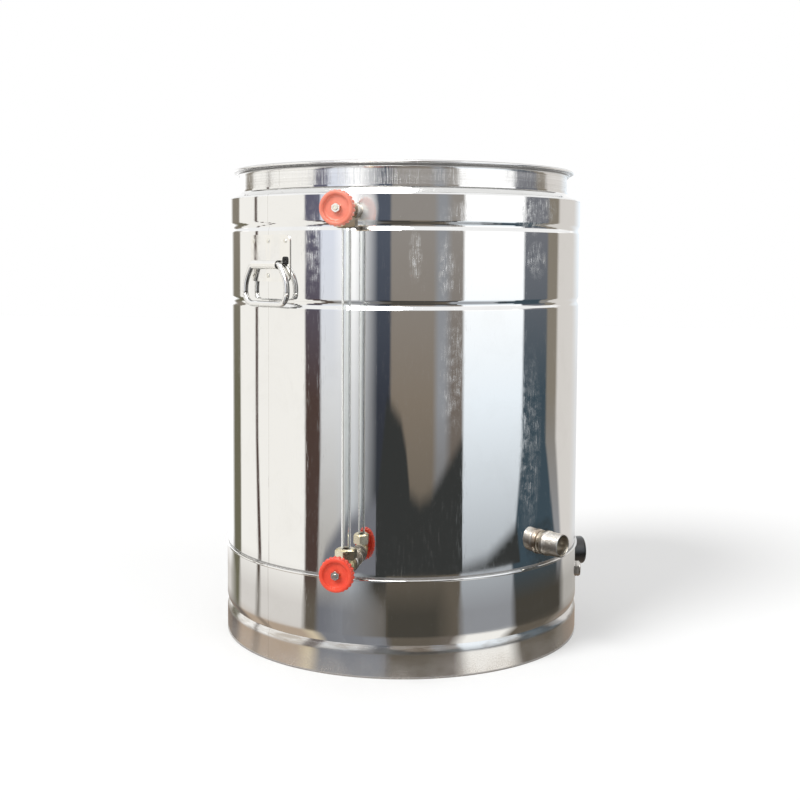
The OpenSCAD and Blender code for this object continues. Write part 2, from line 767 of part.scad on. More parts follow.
// Spindle with its seat cone; it slides out as the handwheel turns.
module spindle(top) {
    tip = -seat_back - seat_d / 2 + seat_gap;
    end = dish_back + wheel_nut_h + spindle_tail;
    color([0.75, 0.72, 0.66]) at_valve(top) union() {
        taper(tip + cone_l / 2, tip + cone_l * 2, seat_d / 2 - seat_gap * 2, spindle_d / 2);
        bar(tip + cone_l * 2, hub_back - wheel_gap / 2, spindle_d / 2);
        bar(hub_back - wheel_gap / 2, end - edge_bevel / 2, spindle_end_d / 2);
        taper(end - edge_bevel / 2, end, spindle_end_d / 2, spindle_end_d / 2 - edge_bevel / 2);
    }
}

module lower_spindle() {
    spindle(false);
}

module upper_spindle() {
    spindle(true);
}

// Fluted handwheel: rounded rim, dished face, web and hub, turned about X.
module handwheel(top) {
    rim_r = wheel_d / 2;
    dish_r = rim_r - wheel_rim;
    front = [for (i = [0:arc_steps]) [rim_r - wheel_round + wheel_round * cos(90 * i / arc_steps),
        wheel_front - wheel_round + wheel_round * sin(90 * i / arc_steps)]];
    back = [for (i = [0:arc_steps]) [rim_r - wheel_round + wheel_round * sin(90 * i / arc_steps),
        wheel_back + wheel_round - wheel_round * cos(90 * i / arc_steps)]];
    dish = [for (i = [0:arc_steps]) [dish_r - wheel_dish + wheel_dish * cos(90 * i / arc_steps),
        wheel_front - wheel_dish * sin(90 * i / arc_steps)]];
    bore = spindle_end_d / 2 + run_gap;
    color([0.86, 0.16, 0.1]) at_valve(top) difference() {
        rotate([90, 0, 90]) rotate_extrude() polygon(concat([[bore, hub_back], [wheel_hub_d / 2, hub_back],
            [wheel_hub_d / 2, web_back], [dish_r - wheel_round, web_back],
            [dish_r - wheel_round, wheel_back]], back, front, dish, [[bore, dish_back]]));
        for (i = [0:flutes_n - 1])
            rotate([360 * i / flutes_n, 0, 0]) translate([0, 0, rim_r + flute_r - flute_depth])
                bar(wheel_back - over, wheel_front - wheel_lip, flute_r);
    }
}

module lower_handwheel() {
    handwheel(false);
}

module upper_handwheel() {
    handwheel(true);
}

module wheel_nut(top) {
    seat = dish_back + slip_gap;
    color([0.8, 0.78, 0.72]) at_valve(top) difference() {
        intersection() {
            hex_bar(seat, seat + wheel_nut_h, wheel_nut_af);
            round_bar(seat, seat + wheel_nut_h, wheel_nut_af / 2 / flat_share, edge_bevel / 2);
        }
        bar(seat - over, seat + wheel_nut_h + over, spindle_end_d / 2 + run_gap);
    }
}

module lower_wheel_nut() {
    wheel_nut(false);
}

module upper_wheel_nut() {
    wheel_nut(true);
}

// Union nut over the branch, with a crown that holds the seal on the glass.
module union_nut(top) {
    crown_z = union_z + union_h - union_crown;
    hex_r = union_af / 2 / flat_share;
    color([0.8, 0.67, 0.33]) at_valve(top) difference() {
        intersection() {
            hex_post(union_z, union_h, union_af);
            union() {
                translate([0, 0, union_z]) cylinder(h = union_h - union_bevel, r = hex_r);
                translate([0, 0, union_z + union_h - union_bevel])
                    cylinder(h = union_bevel, r1 = hex_r, r2 = hex_r - union_bevel * 2);
            }
        }
        translate([0, 0, union_z - over]) cylinder(h = crown_z - union_z + over, r = branch_d / 2 + slip_gap);
        sphere(r = body_ball_d / 2 + slip_gap);
        translate([0, 0, union_z]) cylinder(h = union_h + over, r = glass_d / 2 + slip_gap * 2);
    }
}

module lower_union_nut() {
    union_nut(false);
}

module upper_union_nut() {
    union_nut(true);
}

module tube_seal(top) {
    color([0.12, 0.12, 0.12]) at_valve(top) translate([0, 0, branch_h + slip_gap]) difference() {
        cylinder(h = seal_h, r = branch_d / 2);
        translate([0, 0, -over]) cylinder(h = seal_h + over * 2, r = glass_d / 2 + slip_gap);
    }
}

module lower_tube_seal() {
    tube_seal(false);
}

module upper_tube_seal() {
    tube_seal(true);
}

module sight_glass() {
    low = gauge_low_z + glass_step + slip_gap;
    high = gauge_top_z - glass_step - slip_gap;
    color([0.85, 0.92, 0.93, 0.35]) around(0, low) translate([glass_r, 0, 0]) difference() {
        cylinder(h = high - low, r = glass_d / 2);
        translate([0, 0, -over]) cylinder(h = high - low + over * 2, r = glass_d / 2 - glass_wall);
    }
}

module at_handle(side) {
    around(handle_angle + side * handle_spread, 0) children();
}

// Rounded plate outline in the plane that X looks along.
module plate_outline() {
    square([plate_w - plate_r * 2, plate_h], center = true);
    square([plate_w, plate_h - plate_r * 2], center = true);
    for (sx = [-1, 1], sz = [-1, 1])
        translate([sx * (plate_w / 2 - plate_r), sz * (plate_h / 2 - plate_r)]) circle(r = plate_r);
}

function rivet_zs() = [plate_z + rivet_edge, plate_z + plate_h - rivet_edge];

// Three rivets in each row, square to the curved plate.
module at_rivets() {
    for (z = rivet_zs(), i = [-1, 0, 1])
        rotate([0, 0, i * asin(rivet_pitch / plate_out_r)]) translate([0, 0, z]) children();
}

// Curved handle plate with the pressed hump that the ring turns in.
module handle_plate(side) {
    color([0.74, 0.74, 0.73]) at_handle(side) difference() {
        union() {
            intersection() {
                translate([0, 0, plate_z - over]) difference() {
                    cylinder(h = plate_h + over * 2, r = plate_out_r);
                    translate([0, 0, -over]) cylinder(h = plate_h + over * 4, r = plate_in_r);
                }
                translate([plate_in_r - plate_r, 0, plate_z + plate_h / 2]) rotate([90, 0, 90])
                    linear_extrude(height = plate_r * 2) plate_outline();
            }
            translate([rod_x, hump_l / 2, handle_z]) rotate([90, 0, 0]) cylinder(h = hump_l, r = hump_r);
            translate([plate_in_r + slip_gap, -hump_l / 2, handle_z - hump_r])
                cube([rod_x - plate_in_r - slip_gap, hump_l, hump_r * 2]);
        }
        translate([rod_x, hump_l / 2 + over, handle_z]) rotate([90, 0, 0])
            cylinder(h = hump_l + over * 2, r = hole_r);
        at_rivets() bar(plate_in_r - over * 4, plate_out_r + over, rivet_r / 2 + slip_gap);
    }
}

module left_handle_plate() {
    handle_plate(0);
}

module right_handle_plate() {
    handle_plate(1);
}

module handle_rivets() {
    color([0.7, 0.7, 0.7]) for (side = [0, 1])
        at_handle(side) at_rivets() {
            bar(plate_in_r, plate_out_r + slip_gap, rivet_r / 2);
            taper(plate_out_r + slip_gap, plate_out_r + rivet_h, rivet_r, rivet_r / 2);
        }
}

// Closed handle ring: four straight bars joined by bends.
module handle_ring(side) {
    lean = atan2((ring_low_w - ring_top_w) / 2, ring_drop);
    top_cut = top_bend * tan((90 - lean) / 2);
    low_cut = ring_bend * tan((90 + lean) / 2);
    leg = ring_drop / cos(lean) - top_cut - low_cut;
    r = rod_d / 2;
    color([0.76, 0.76, 0.75]) at_handle(side) translate([rod_x, 0, handle_z]) {
        translate([0, ring_top_w / 2 - top_cut + rod_in, 0]) rotate([90, 0, 0])
            cylinder(h = ring_top_w - top_cut * 2 + rod_in * 2, r = r - rod_step);
        translate([0, ring_low_w / 2 - low_cut + rod_in, -ring_drop]) rotate([90, 0, 0])
            cylinder(h = ring_low_w - low_cut * 2 + rod_in * 2, r = r - rod_step);
        for (m = [0, 1]) mirror([0, m, 0]) {
            translate([0, ring_top_w / 2 - top_cut, -top_bend]) rotate([90, 0, 90])
                rotate([0, 0, lean]) rotate_extrude(angle = 90 - lean)
                    translate([top_bend, 0]) circle(r = r);
            translate([0, ring_top_w / 2, 0]) rotate([lean, 0, 0]) translate([0, 0, -top_cut - leg - rod_in])
                cylinder(h = leg + rod_in * 2, r = r - rod_step);
            translate([0, ring_low_w / 2 - low_cut, -ring_drop + ring_bend]) rotate([90, 0, 90])
                rotate([0, 0, -90]) rotate_extrude(angle = 90 + lean)
                    translate([ring_bend, 0]) circle(r = r);
        }
    }
}

module left_handle_ring() {
    handle_ring(0);
}

module right_handle_ring() {
    handle_ring(1);
}

// Thermostat case behind the skirt, with the bush that comes through.
module thermostat_case() {
    color([0.55, 0.55, 0.54]) around(stat_angle, stat_z) difference() {
        union() {
            translate([stat_front - stat_depth, -stat_w / 2, -stat_h / 2]) cube([stat_depth, stat_w, stat_h]);
            bar(stat_front - over, knob_back - knob_gap, stat_bush_d / 2);
        }
        bar(stat_front - stat_depth / 2, knob_back + over, stat_shaft_d / 2 + run_gap);
        for (side = [-1, 1])
            translate([0, side * stat_pitch / 2, 0])
                bar(stat_front - screw_l, stat_front + over, screw_r + slip_gap);
        translate([0, 0, capillary_z - stat_z]) bar(stat_front - stat_depth - over,
            stat_front - stat_depth + sheet * 2, capillary_d / 2 + slip_gap);
    }
}

module thermostat_screws() {
    color([0.6, 0.6, 0.6]) around(stat_angle, stat_z) for (side = [-1, 1])
        translate([stat_screw_x, side * stat_pitch / 2, 0]) rotate([0, -90, 0]) button_screw(screw_l);
}

module thermostat_shaft() {
    front = knob_back + knob_h - knob_round;
    color([0.6, 0.6, 0.62]) around(stat_angle, stat_z)
        bar(stat_front - stat_depth / 2 + over, front - over, stat_shaft_d / 2);
}

// Gloss knob with a rounded front edge, a hollow back, a boss and a pointer groove.
module thermostat_knob() {
    r = knob_d / 2;
    front = knob_back + knob_h;
    arc = [for (i = [0:arc_steps]) [r - knob_round + knob_round * cos(90 * i / arc_steps),
        front - knob_round + knob_round * sin(90 * i / arc_steps)]];
    color([0.05, 0.05, 0.05]) around(stat_angle, stat_z) difference() {
        rotate([90, 0, 90]) rotate_extrude() polygon(concat([[0, knob_back + knob_gap],
            [knob_boss_d / 2, knob_back + knob_gap], [knob_boss_d / 2, knob_back + knob_hollow],
            [r - knob_wall, knob_back + knob_hollow], [r - knob_wall, knob_back], [r, knob_back]],
            arc, [[0, front]]));
        translate([front - pointer_h, -pointer_w / 2, 0]) cube([pointer_h + over, pointer_w, r + over]);
        bar(knob_back - over, front - knob_round, stat_shaft_d / 2 + run_gap);
    }
}

// Closed tube through the floor that keeps the sensor dry.
module sensor_pocket() {
    low = jacket_floor_z - pocket_low;
    high = jacket_floor_z + pocket_up;
    color([0.72, 0.72, 0.71]) around(stat_angle, 0) translate([sensor_r, 0, low]) difference() {
        cylinder(h = high - low, r = pocket_d / 2);
        translate([0, 0, -over])
            cylinder(h = high - low - pocket_wall + over, r = pocket_d / 2 - pocket_wall);
    }
}

// Sensor bulb with its capillary running to the thermostat.
module sensor_bulb() {
    low = jacket_floor_z - pocket_low;
    high = jacket_floor_z + pocket_up - pocket_wall * 2;
    color([0.72, 0.55, 0.36]) around(stat_angle, 0) union() {
        translate([sensor_r, 0, low + pocket_wall]) cylinder(h = high - low - pocket_wall, r = bulb_d / 2);
        translate([sensor_r, 0, low]) cylinder(h = pocket_wall, r = capillary_d / 2);
        translate([sensor_r + capillary_bend, 0, low]) rotate([90, 0, 0]) rotate([0, 0, 180])
            rotate_extrude(angle = 90) translate([capillary_bend, 0]) circle(r = capillary_d / 2);
        translate([0, 0, capillary_z]) bar(sensor_r + capillary_bend, stat_front - stat_depth + over,
            capillary_d / 2);
    }
}

// Heating element: an open loop with both ends bent down through the floor.
module heating_element() {
    r = heater_d / 2;
    heater_in = asin(rod_in / heater_loop_r);
    color([0.45, 0.45, 0.46]) union() {
        translate([0, 0, heater_z]) rotate([0, 0, heater_angle + heater_open / 2 - heater_in - 90])
            rotate_extrude(angle = 360 - heater_open + heater_in * 2) translate([heater_loop_r, 0])
                circle(r = r - rod_step);
        for (side = [-1, 1])
            around(heater_angle + side * heater_open / 2, 0)
                translate([heater_loop_r, 0, heater_z - heater_bend]) rotate([0, 0, side > 0 ? -90 : 90])
                    rotate([90, 0, 0]) rotate_extrude(angle = 90) translate([heater_bend, 0]) circle(r = r);
        at_heater_ends() translate([0, 0, heater_foot_z])
            cylinder(h = heater_z - heater_bend - heater_foot_z + rod_in, r = r - rod_step);
    }
}

module heater_nuts() {
    color([0.78, 0.64, 0.3]) at_heater_ends() difference() {
        hex_post(jacket_floor_z - heater_nut_h, heater_nut_h, heater_nut_af);
        translate([0, 0, jacket_floor_z - heater_nut_h - over])
            cylinder(h = heater_nut_h + over * 2, r = heater_d / 2 + slip_gap);
    }
}

module heater_washers() {
    color([0.15, 0.15, 0.15]) at_heater_ends() translate([0, 0, jacket_floor_z + sheet]) difference() {
        cylinder(h = heater_washer_h, r = heater_washer_d / 2);
        translate([0, 0, -over]) cylinder(h = heater_washer_h + over * 2, r = heater_d / 2 + slip_gap);
    }
}

module heater_terminals() {
    color([0.9, 0.88, 0.82]) at_heater_ends() {
        translate([0, 0, heater_foot_z - insulator_h]) cylinder(h = insulator_h, r = insulator_d / 2);
        translate([0, 0, heater_foot_z - insulator_h - stud_l]) cylinder(h = stud_l, r = stud_d / 2);
    }
}

// Cable gland: hexagon flange outside, thread through the skirt.
module cable_gland() {
    color([0.8, 0.8, 0.79]) around(gland_angle, gland_z) difference() {
        union() {
            intersection() {
                hex_bar(gland_x, gland_x + gland_flange_h, gland_af);
                round_bar(gland_x, gland_x + gland_flange_h, gland_af / 2 / flat_share, edge_bevel);
            }
            bar(gland_x - sheet - gland_in, gland_x + over, gland_thread_d / 2);
            bar(gland_x + gland_flange_h - over, gland_x + gland_flange_h + gland_neck_l, gland_thread_d / 2);
        }
        bar(gland_x - sheet - gland_in - over, gland_x + gland_flange_h + gland_neck_l + over,
            gland_bore / 2);
    }
}

module gland_dome_nut() {
    r = gland_af / 2 / flat_share;
    back = gland_x + gland_flange_h + slip_gap;
    front = back + gland_dome_h;
    skin = (gland_dome_h - gland_neck_l) / 2;
    arc = [for (i = [0:arc_steps]) [gland_bore / 2 + (r - gland_bore / 2) * cos(90 * i / arc_steps),
        front - gland_dome_h / 2 + gland_dome_h / 2 * sin(90 * i / arc_steps)]];
    color([0.82, 0.82, 0.81]) around(gland_angle, gland_z) difference() {
        intersection() {
            rotate([90, 0, 90]) rotate_extrude() polygon(concat([[0, back], [r, back]], arc, [[0, front]]));
            union() {
                hex_bar(back, back + gland_dome_h / 2, gland_af);
                bar(back + gland_dome_h / 2, front + over, gland_af / 2);
            }
        }
        bar(back - over, back + gland_neck_l + skin, gland_thread_d / 2 + slip_gap);
        bar(back, front + over, gland_bore / 2);
    }
}

module gland_locknut() {
    front = skirt_in_r - stat_back / 2;
    color([0.78, 0.78, 0.77]) around(gland_angle, gland_z) difference() {
        hex_bar(front - gland_lock_h, front, gland_af);
        bar(front - gland_lock_h - over, front + over, gland_thread_d / 2 + slip_gap);
    }
}

// Welded socket for filling or draining the water space.
module water_socket(angle, z) {
    color([0.75, 0.75, 0.74]) around(angle, z) difference() {
        bar(body_r - sheet - socket_in, socket_x, socket_d / 2);
        bar(body_r - sheet - socket_in - over, socket_x + over, socket_bore / 2);
    }
}

module water_plug(angle, z) {
    flange = socket_x + slip_gap;
    color([0.79, 0.65, 0.31]) around(angle, z) {
        bar(socket_x - plug_in, flange, socket_bore / 2 - slip_gap);
        bar(flange, flange + plug_flange_h, socket_d / 2);
        intersection() {
            hex_bar(flange + plug_flange_h, flange + plug_flange_h + plug_h, plug_af);
            round_bar(flange + plug_flange_h, flange + plug_flange_h + plug_h, plug_af / 2 / flat_share,
                edge_bevel);
        }
    }
}

module fill_socket() {
    water_socket(fill_angle, fill_z);
}

module fill_plug() {
    water_plug(fill_angle, fill_z);
}

module drain_socket() {
    water_socket(drain_angle, gauge_low_z);
}

module drain_plug() {
    water_plug(drain_angle, gauge_low_z);
}

inner_wall();
vessel_bottom();
shoulder_ring();
jacket_shell();
jacket_floor();
base_skirt();
base_ring();
base_cover();
cover_screws();
outlet_pipe();
outlet_nipple();
lower_sleeve();
upper_sleeve();
lower_valve_body();
upper_valve_body();
lower_gland_nut();
upper_gland_nut();
lower_spindle();
upper_spindle();
lower_handwheel();
upper_handwheel();
lower_wheel_nut();
upper_wheel_nut();
lower_union_nut();
upper_union_nut();
lower_tube_seal();
upper_tube_seal();
sight_glass();
left_handle_plate();
right_handle_plate();
left_handle_ring();
right_handle_ring();
handle_rivets();
thermostat_case();
thermostat_screws();
thermostat_shaft();
thermostat_knob();
sensor_pocket();
sensor_bulb();
heating_element();
heater_nuts();
heater_washers();
heater_terminals();
cable_gland();
gland_dome_nut();
gland_locknut();
fill_socket();
fill_plug();
drain_socket();
drain_plug();
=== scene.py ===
import json
import math
import bmesh
import bpy
from mathutils import Matrix, Vector


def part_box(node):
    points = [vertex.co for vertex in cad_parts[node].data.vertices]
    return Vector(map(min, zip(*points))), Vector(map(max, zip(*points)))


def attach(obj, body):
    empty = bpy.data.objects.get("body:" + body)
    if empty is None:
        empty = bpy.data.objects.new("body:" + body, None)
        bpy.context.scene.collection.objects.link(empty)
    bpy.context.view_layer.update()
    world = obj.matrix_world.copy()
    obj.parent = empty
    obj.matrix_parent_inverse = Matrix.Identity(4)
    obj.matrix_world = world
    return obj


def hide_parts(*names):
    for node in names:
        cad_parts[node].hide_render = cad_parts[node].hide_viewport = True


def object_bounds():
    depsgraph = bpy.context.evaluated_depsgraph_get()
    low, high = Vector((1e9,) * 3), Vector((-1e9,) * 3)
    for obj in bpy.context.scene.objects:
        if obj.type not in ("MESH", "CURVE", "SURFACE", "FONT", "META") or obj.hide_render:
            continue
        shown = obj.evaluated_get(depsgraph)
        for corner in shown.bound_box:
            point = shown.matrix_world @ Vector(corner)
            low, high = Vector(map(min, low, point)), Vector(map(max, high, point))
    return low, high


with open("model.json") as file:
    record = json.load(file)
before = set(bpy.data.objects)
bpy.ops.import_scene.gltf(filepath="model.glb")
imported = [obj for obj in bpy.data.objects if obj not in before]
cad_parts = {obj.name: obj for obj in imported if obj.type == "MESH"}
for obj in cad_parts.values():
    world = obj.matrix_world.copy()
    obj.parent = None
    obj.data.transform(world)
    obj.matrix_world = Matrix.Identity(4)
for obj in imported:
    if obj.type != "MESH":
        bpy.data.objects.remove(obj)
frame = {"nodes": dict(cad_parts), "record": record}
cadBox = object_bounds()
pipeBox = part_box("outlet_nipple")
outletLevel = (pipeBox[0].z + pipeBox[1].z) / 2
outletAngle = 61.5        # degrees from the gauge
jacketRadius = 0.259      # metres from the axis to each sheet
skirtRadius = 0.2605
vesselRadius = 0.2393
nodes = frame["nodes"]
scene = bpy.context.scene
scene.view_settings.view_transform = "Standard"
print("frame loaded:", len(nodes), "nodes")

# camera, where the photographer stood
viewPoint = {
    "side": 13.5,         # degrees round from the gauge
    "away": 1.7594,       # metres from the tank's axis
    "height": 0.5452,
    "turn": -0.13,        # degrees, a hair off the axis
    "down": 3.791,
    "roll": 0.292,
    "lens": 53.0,
    "shift": -0.0784,
}


def setCamera(v):
    side = Matrix.Rotation(math.radians(v["side"]), 3, "Z")
    turn, down, roll = (math.radians(v[k]) for k in ("turn", "down", "roll"))
    ahead = Vector((math.sin(turn) * math.cos(down), math.cos(turn) * math.cos(down), -math.sin(down)))
    across = Vector((math.cos(turn), -math.sin(turn), 0))
    upward = across.cross(ahead)
    right = across * math.cos(roll) + upward * math.sin(roll)
    above = upward * math.cos(roll) - across * math.sin(roll)
    axes = [side @ a for a in (right, above, -ahead)]
    spot = side @ Vector((0, -v["away"], v["height"]))
    data = bpy.data.cameras.new("photoCamera")
    data.lens = v["lens"]
    data.sensor_width = 36
    data.sensor_fit = "HORIZONTAL"
    data.shift_y = v["shift"]
    camera = bpy.data.objects.new("photoCamera", data)
    scene.collection.objects.link(camera)
    camera.matrix_world = Matrix((
        (axes[0].x, axes[1].x, axes[2].x, spot.x),
        (axes[0].y, axes[1].y, axes[2].y, spot.y),
        (axes[0].z, axes[1].z, axes[2].z, spot.z),
        (0, 0, 0, 1)))
    scene.camera = camera


setCamera(viewPoint)
print("camera set")


# node helpers for the finishes
def addNode(tree, kind, inputs=None, **settings):
    node = tree.nodes.new("ShaderNode" + kind)
    for key, value in settings.items():
        setattr(node, key, value)
    for key, value in (inputs or {}).items():
        if isinstance(value, bpy.types.NodeSocket):
            tree.links.new(value, node.inputs[key])
        else:
            node.inputs[key].default_value = value
    return node


def doMath(tree, operation, a, b=0.0, clamp=False):
    return addNode(tree, "Math", {0: a, 1: b}, operation=operation, use_clamp=clamp).outputs[0]


def addShare(tree, base, mask, weight):
    # base plus a weighted mask, held between 0 and 1
    return doMath(tree, "ADD", base, doMath(tree, "MULTIPLY", mask, weight), True)


def largest(tree, masks):
    top = masks[0]
    for mask in masks[1:]:
        top = doMath(tree, "MAXIMUM", top, mask)
    return top


def mapRange(tree, value, low, high, toLow=0.0, toHigh=1.0):
    keys = {"Value": value, "From Min": low, "From Max": high, "To Min": toLow, "To Max": toHigh}
    return addNode(tree, "MapRange", keys).outputs[0]


def mixColour(tree, share, a, b):
    return addNode(tree, "Mix", {0: share, 6: a, 7: b}, data_type="RGBA").outputs[2]


def noiseAt(tree, where, scale, detail=4.0, rough=0.55, warp=0.0):
    keys = {"Vector": where, "Scale": scale, "Detail": detail, "Roughness": rough, "Distortion": warp}
    return addNode(tree, "TexNoise", keys).outputs["Fac"]


def stretchAt(tree, where, scale, turn=0.0):
    keys = {"Vector": where, "Scale": scale, "Rotation": (0, 0, math.radians(turn))}
    return addNode(tree, "Mapping", keys).outputs[0]


def newFinish(name):
    mat = bpy.data.materials.new(name)
    mat.use_nodes = True
    tree = mat.node_tree
    return mat, tree, tree.nodes["Principled BSDF"]


def joinUp(tree, shader, tone, rough, normal):
    tree.links.new(tone, shader.inputs["Base Color"])
    tree.links.new(rough, shader.inputs["Roughness"])
    tree.links.new(normal, shader.inputs["Normal"])


def objectPoint(tree):
    return addNode(tree, "TexCoord").outputs["Object"]


def wrapPoint(tree, radius):
    # unrolls a round sheet: metres along the girth, metres up
    split = addNode(tree, "SeparateXYZ", {0: objectPoint(tree)})
    back = doMath(tree, "MULTIPLY", split.outputs[1], -1.0)
    angle = doMath(tree, "ARCTAN2", split.outputs[0], back)
    along = doMath(tree, "MULTIPLY", angle, radius)
    flat = addNode(tree, "CombineXYZ", {0: along, 1: split.outputs[2]})
    return flat.outputs[0], along, split.outputs[2], angle


def scratchMask(tree, where, turn, fine, longWay, low, high, seed):
    # sparse hairlines: a stretched noise cut near its top
    shift = (seed, seed * 0.7, seed * 0.3)
    moved = addNode(tree, "VectorMath", {0: where, 1: shift}, operation="ADD").outputs[0]
    lines = noiseAt(tree, stretchAt(tree, moved, (fine, longWay, 1), turn), 1.0, 3.0, 0.6)
    patch = noiseAt(tree, moved, 9.0, 2.0)
    cut = mapRange(tree, lines, low, high)
    return doMath(tree, "MULTIPLY", cut, mapRange(tree, patch, 0.42, 0.62))


def bumpFrom(tree, height, strength, distance, under=None):
    keys = {"Height": height, "Strength": strength, "Distance": distance}
    if under is not None:
        keys["Normal"] = under
    return addNode(tree, "Bump", keys).outputs[0]


def sideShadeMask(tree, strength):
    # painted shade: grows where a bar or lip turns aside from straight outwards, so its sides are drawn
    # darker
    place = addNode(tree, "TexCoord").outputs
    level = addNode(tree, "VectorMath", {0: place["Object"], 1: (1, 1, 0)}, operation="MULTIPLY").outputs[0]
    outward = addNode(tree, "VectorMath", {0: level}, operation="NORMALIZE").outputs[0]
    facing = addNode(tree, "VectorMath", {0: outward, 1: place["Normal"]}, operation="DOT_PRODUCT")
    straight = doMath(tree, "ABSOLUTE", facing.outputs["Value"])
    return mapRange(tree, straight, 0.70, 0.25, 0.0, strength)


def seenShare(tree):
    # 1 for rays from the lens, off the steel or through the glass, 0 for light that falls on things
    path = addNode(tree, "LightPath")
    seen = doMath(tree, "ADD", path.outputs["Is Camera Ray"], path.outputs["Is Glossy Ray"], True)
    return doMath(tree, "ADD", seen, path.outputs["Is Transmission Ray"], True)


# polished sheet of the jacket, shoulder and skirt
polish = {
    "steel": (0.87, 0.87, 0.865, 1),
    "dull": (0.80, 0.795, 0.78, 1),
    "scratchTone": (0.93, 0.94, 0.95, 1),
    "rubTone": (0.90, 0.95, 1.0, 1),
    "smooth": 0.028,
    "smudged": 0.085,
    "seamAngle": -30.4,       # upright weld, degrees from the gauge
    "seamWidth": 0.0009,
    "seamTone": (0.52, 0.50, 0.46, 1),
    "jointRise": 0.0014,      # painted shade: a dark line just above the skirt's rolled edge
    "jointShadeTone": (0.10, 0.09, 0.08, 1),
    "heatReach": 0.036,       # straw stain round the root of the outlet
    "heatTone": (0.42, 0.27, 0.15, 1),
    "wiped": (3.6, 0.609, 0.014, 0.030, 0.60),       # smear beside the upper valve, set out like the scuffs
}
# hairlines: turn in degrees, fineness across and along, noise cut from and to, seed
sheetHairs = [
    (14, 1300, 60, 0.69, 0.80, 0.3),
    (38, 1500, 34, 0.65, 0.77, 2.1),
    (-52, 1700, 36, 0.65, 0.77, 5.2),
]
# strokes in the rubbed places: fineness across and along, turn in degrees, waviness
rubStrokes = [(820, 60, 30, 0.3), (760, 48, -34, 0.3), (900, 20, -7, 0.0)]
# rubbed places on the jacket: degrees from the gauge, height, half width, half height, strength
scuffs = [
    (17.0, 0.548, 0.010, 0.034, 0.9),
    (26.0, 0.535, 0.012, 0.042, 0.9),
    (57.0, 0.545, 0.022, 0.026, 1.0),
    (27.5, 0.400, 0.017, 0.090, 0.55),
    (55.0, 0.300, 0.024, 0.130, 0.6),
    (30.0, 0.600, 0.030, 0.022, 0.6),
    (60.0, 0.612, 0.030, 0.020, 1.0),
    (54.0, 0.604, 0.026, 0.030, 1.0),
    (-13.3, 0.560, 0.012, 0.060, 0.9),
]
# dirt low on the skirt and along its swage, and painted shade along its foot
skirtDirtAndShade = {
    "swage": 0.0378,
    "dust": (0.40, 0.31, 0.22, 1),
    "soil": (0.34, 0.28, 0.22, 1),
    "foot": (0.11, 0.09, 0.075, 1),
    "crumb": (0.86, 0.82, 0.74, 1),
}


def patchMask(tree, along, high, spot, radius):
    a, z, wide, tall, strength = spot
    across = doMath(tree, "DIVIDE", doMath(tree, "SUBTRACT", along, math.radians(a) * radius), wide)
    upward = doMath(tree, "DIVIDE", doMath(tree, "SUBTRACT", high, z), tall)
    squares = [doMath(tree, "MULTIPLY", side, side) for side in (across, upward)]
    return mapRange(tree, doMath(tree, "ADD", *squares), 1.1, 0.25, 0.0, strength)


def seamMask(tree, angle, radius):
    # bead of the upright weld
    off = doMath(tree, "SUBTRACT", angle, math.radians(polish["seamAngle"]))
    off = doMath(tree, "ABSOLUTE", doMath(tree, "MULTIPLY", off, radius))
    return mapRange(tree, off, 0.0, polish["seamWidth"], 1.0, 0.0)


def levelLine(tree, high, level):
    # thin dark line round the tank at one height, painted as shade where it is used
    off = doMath(tree, "ABSOLUTE", doMath(tree, "SUBTRACT", high, level))
    return mapRange(tree, off, 0.0004, 0.0016, 0.8, 0.0)


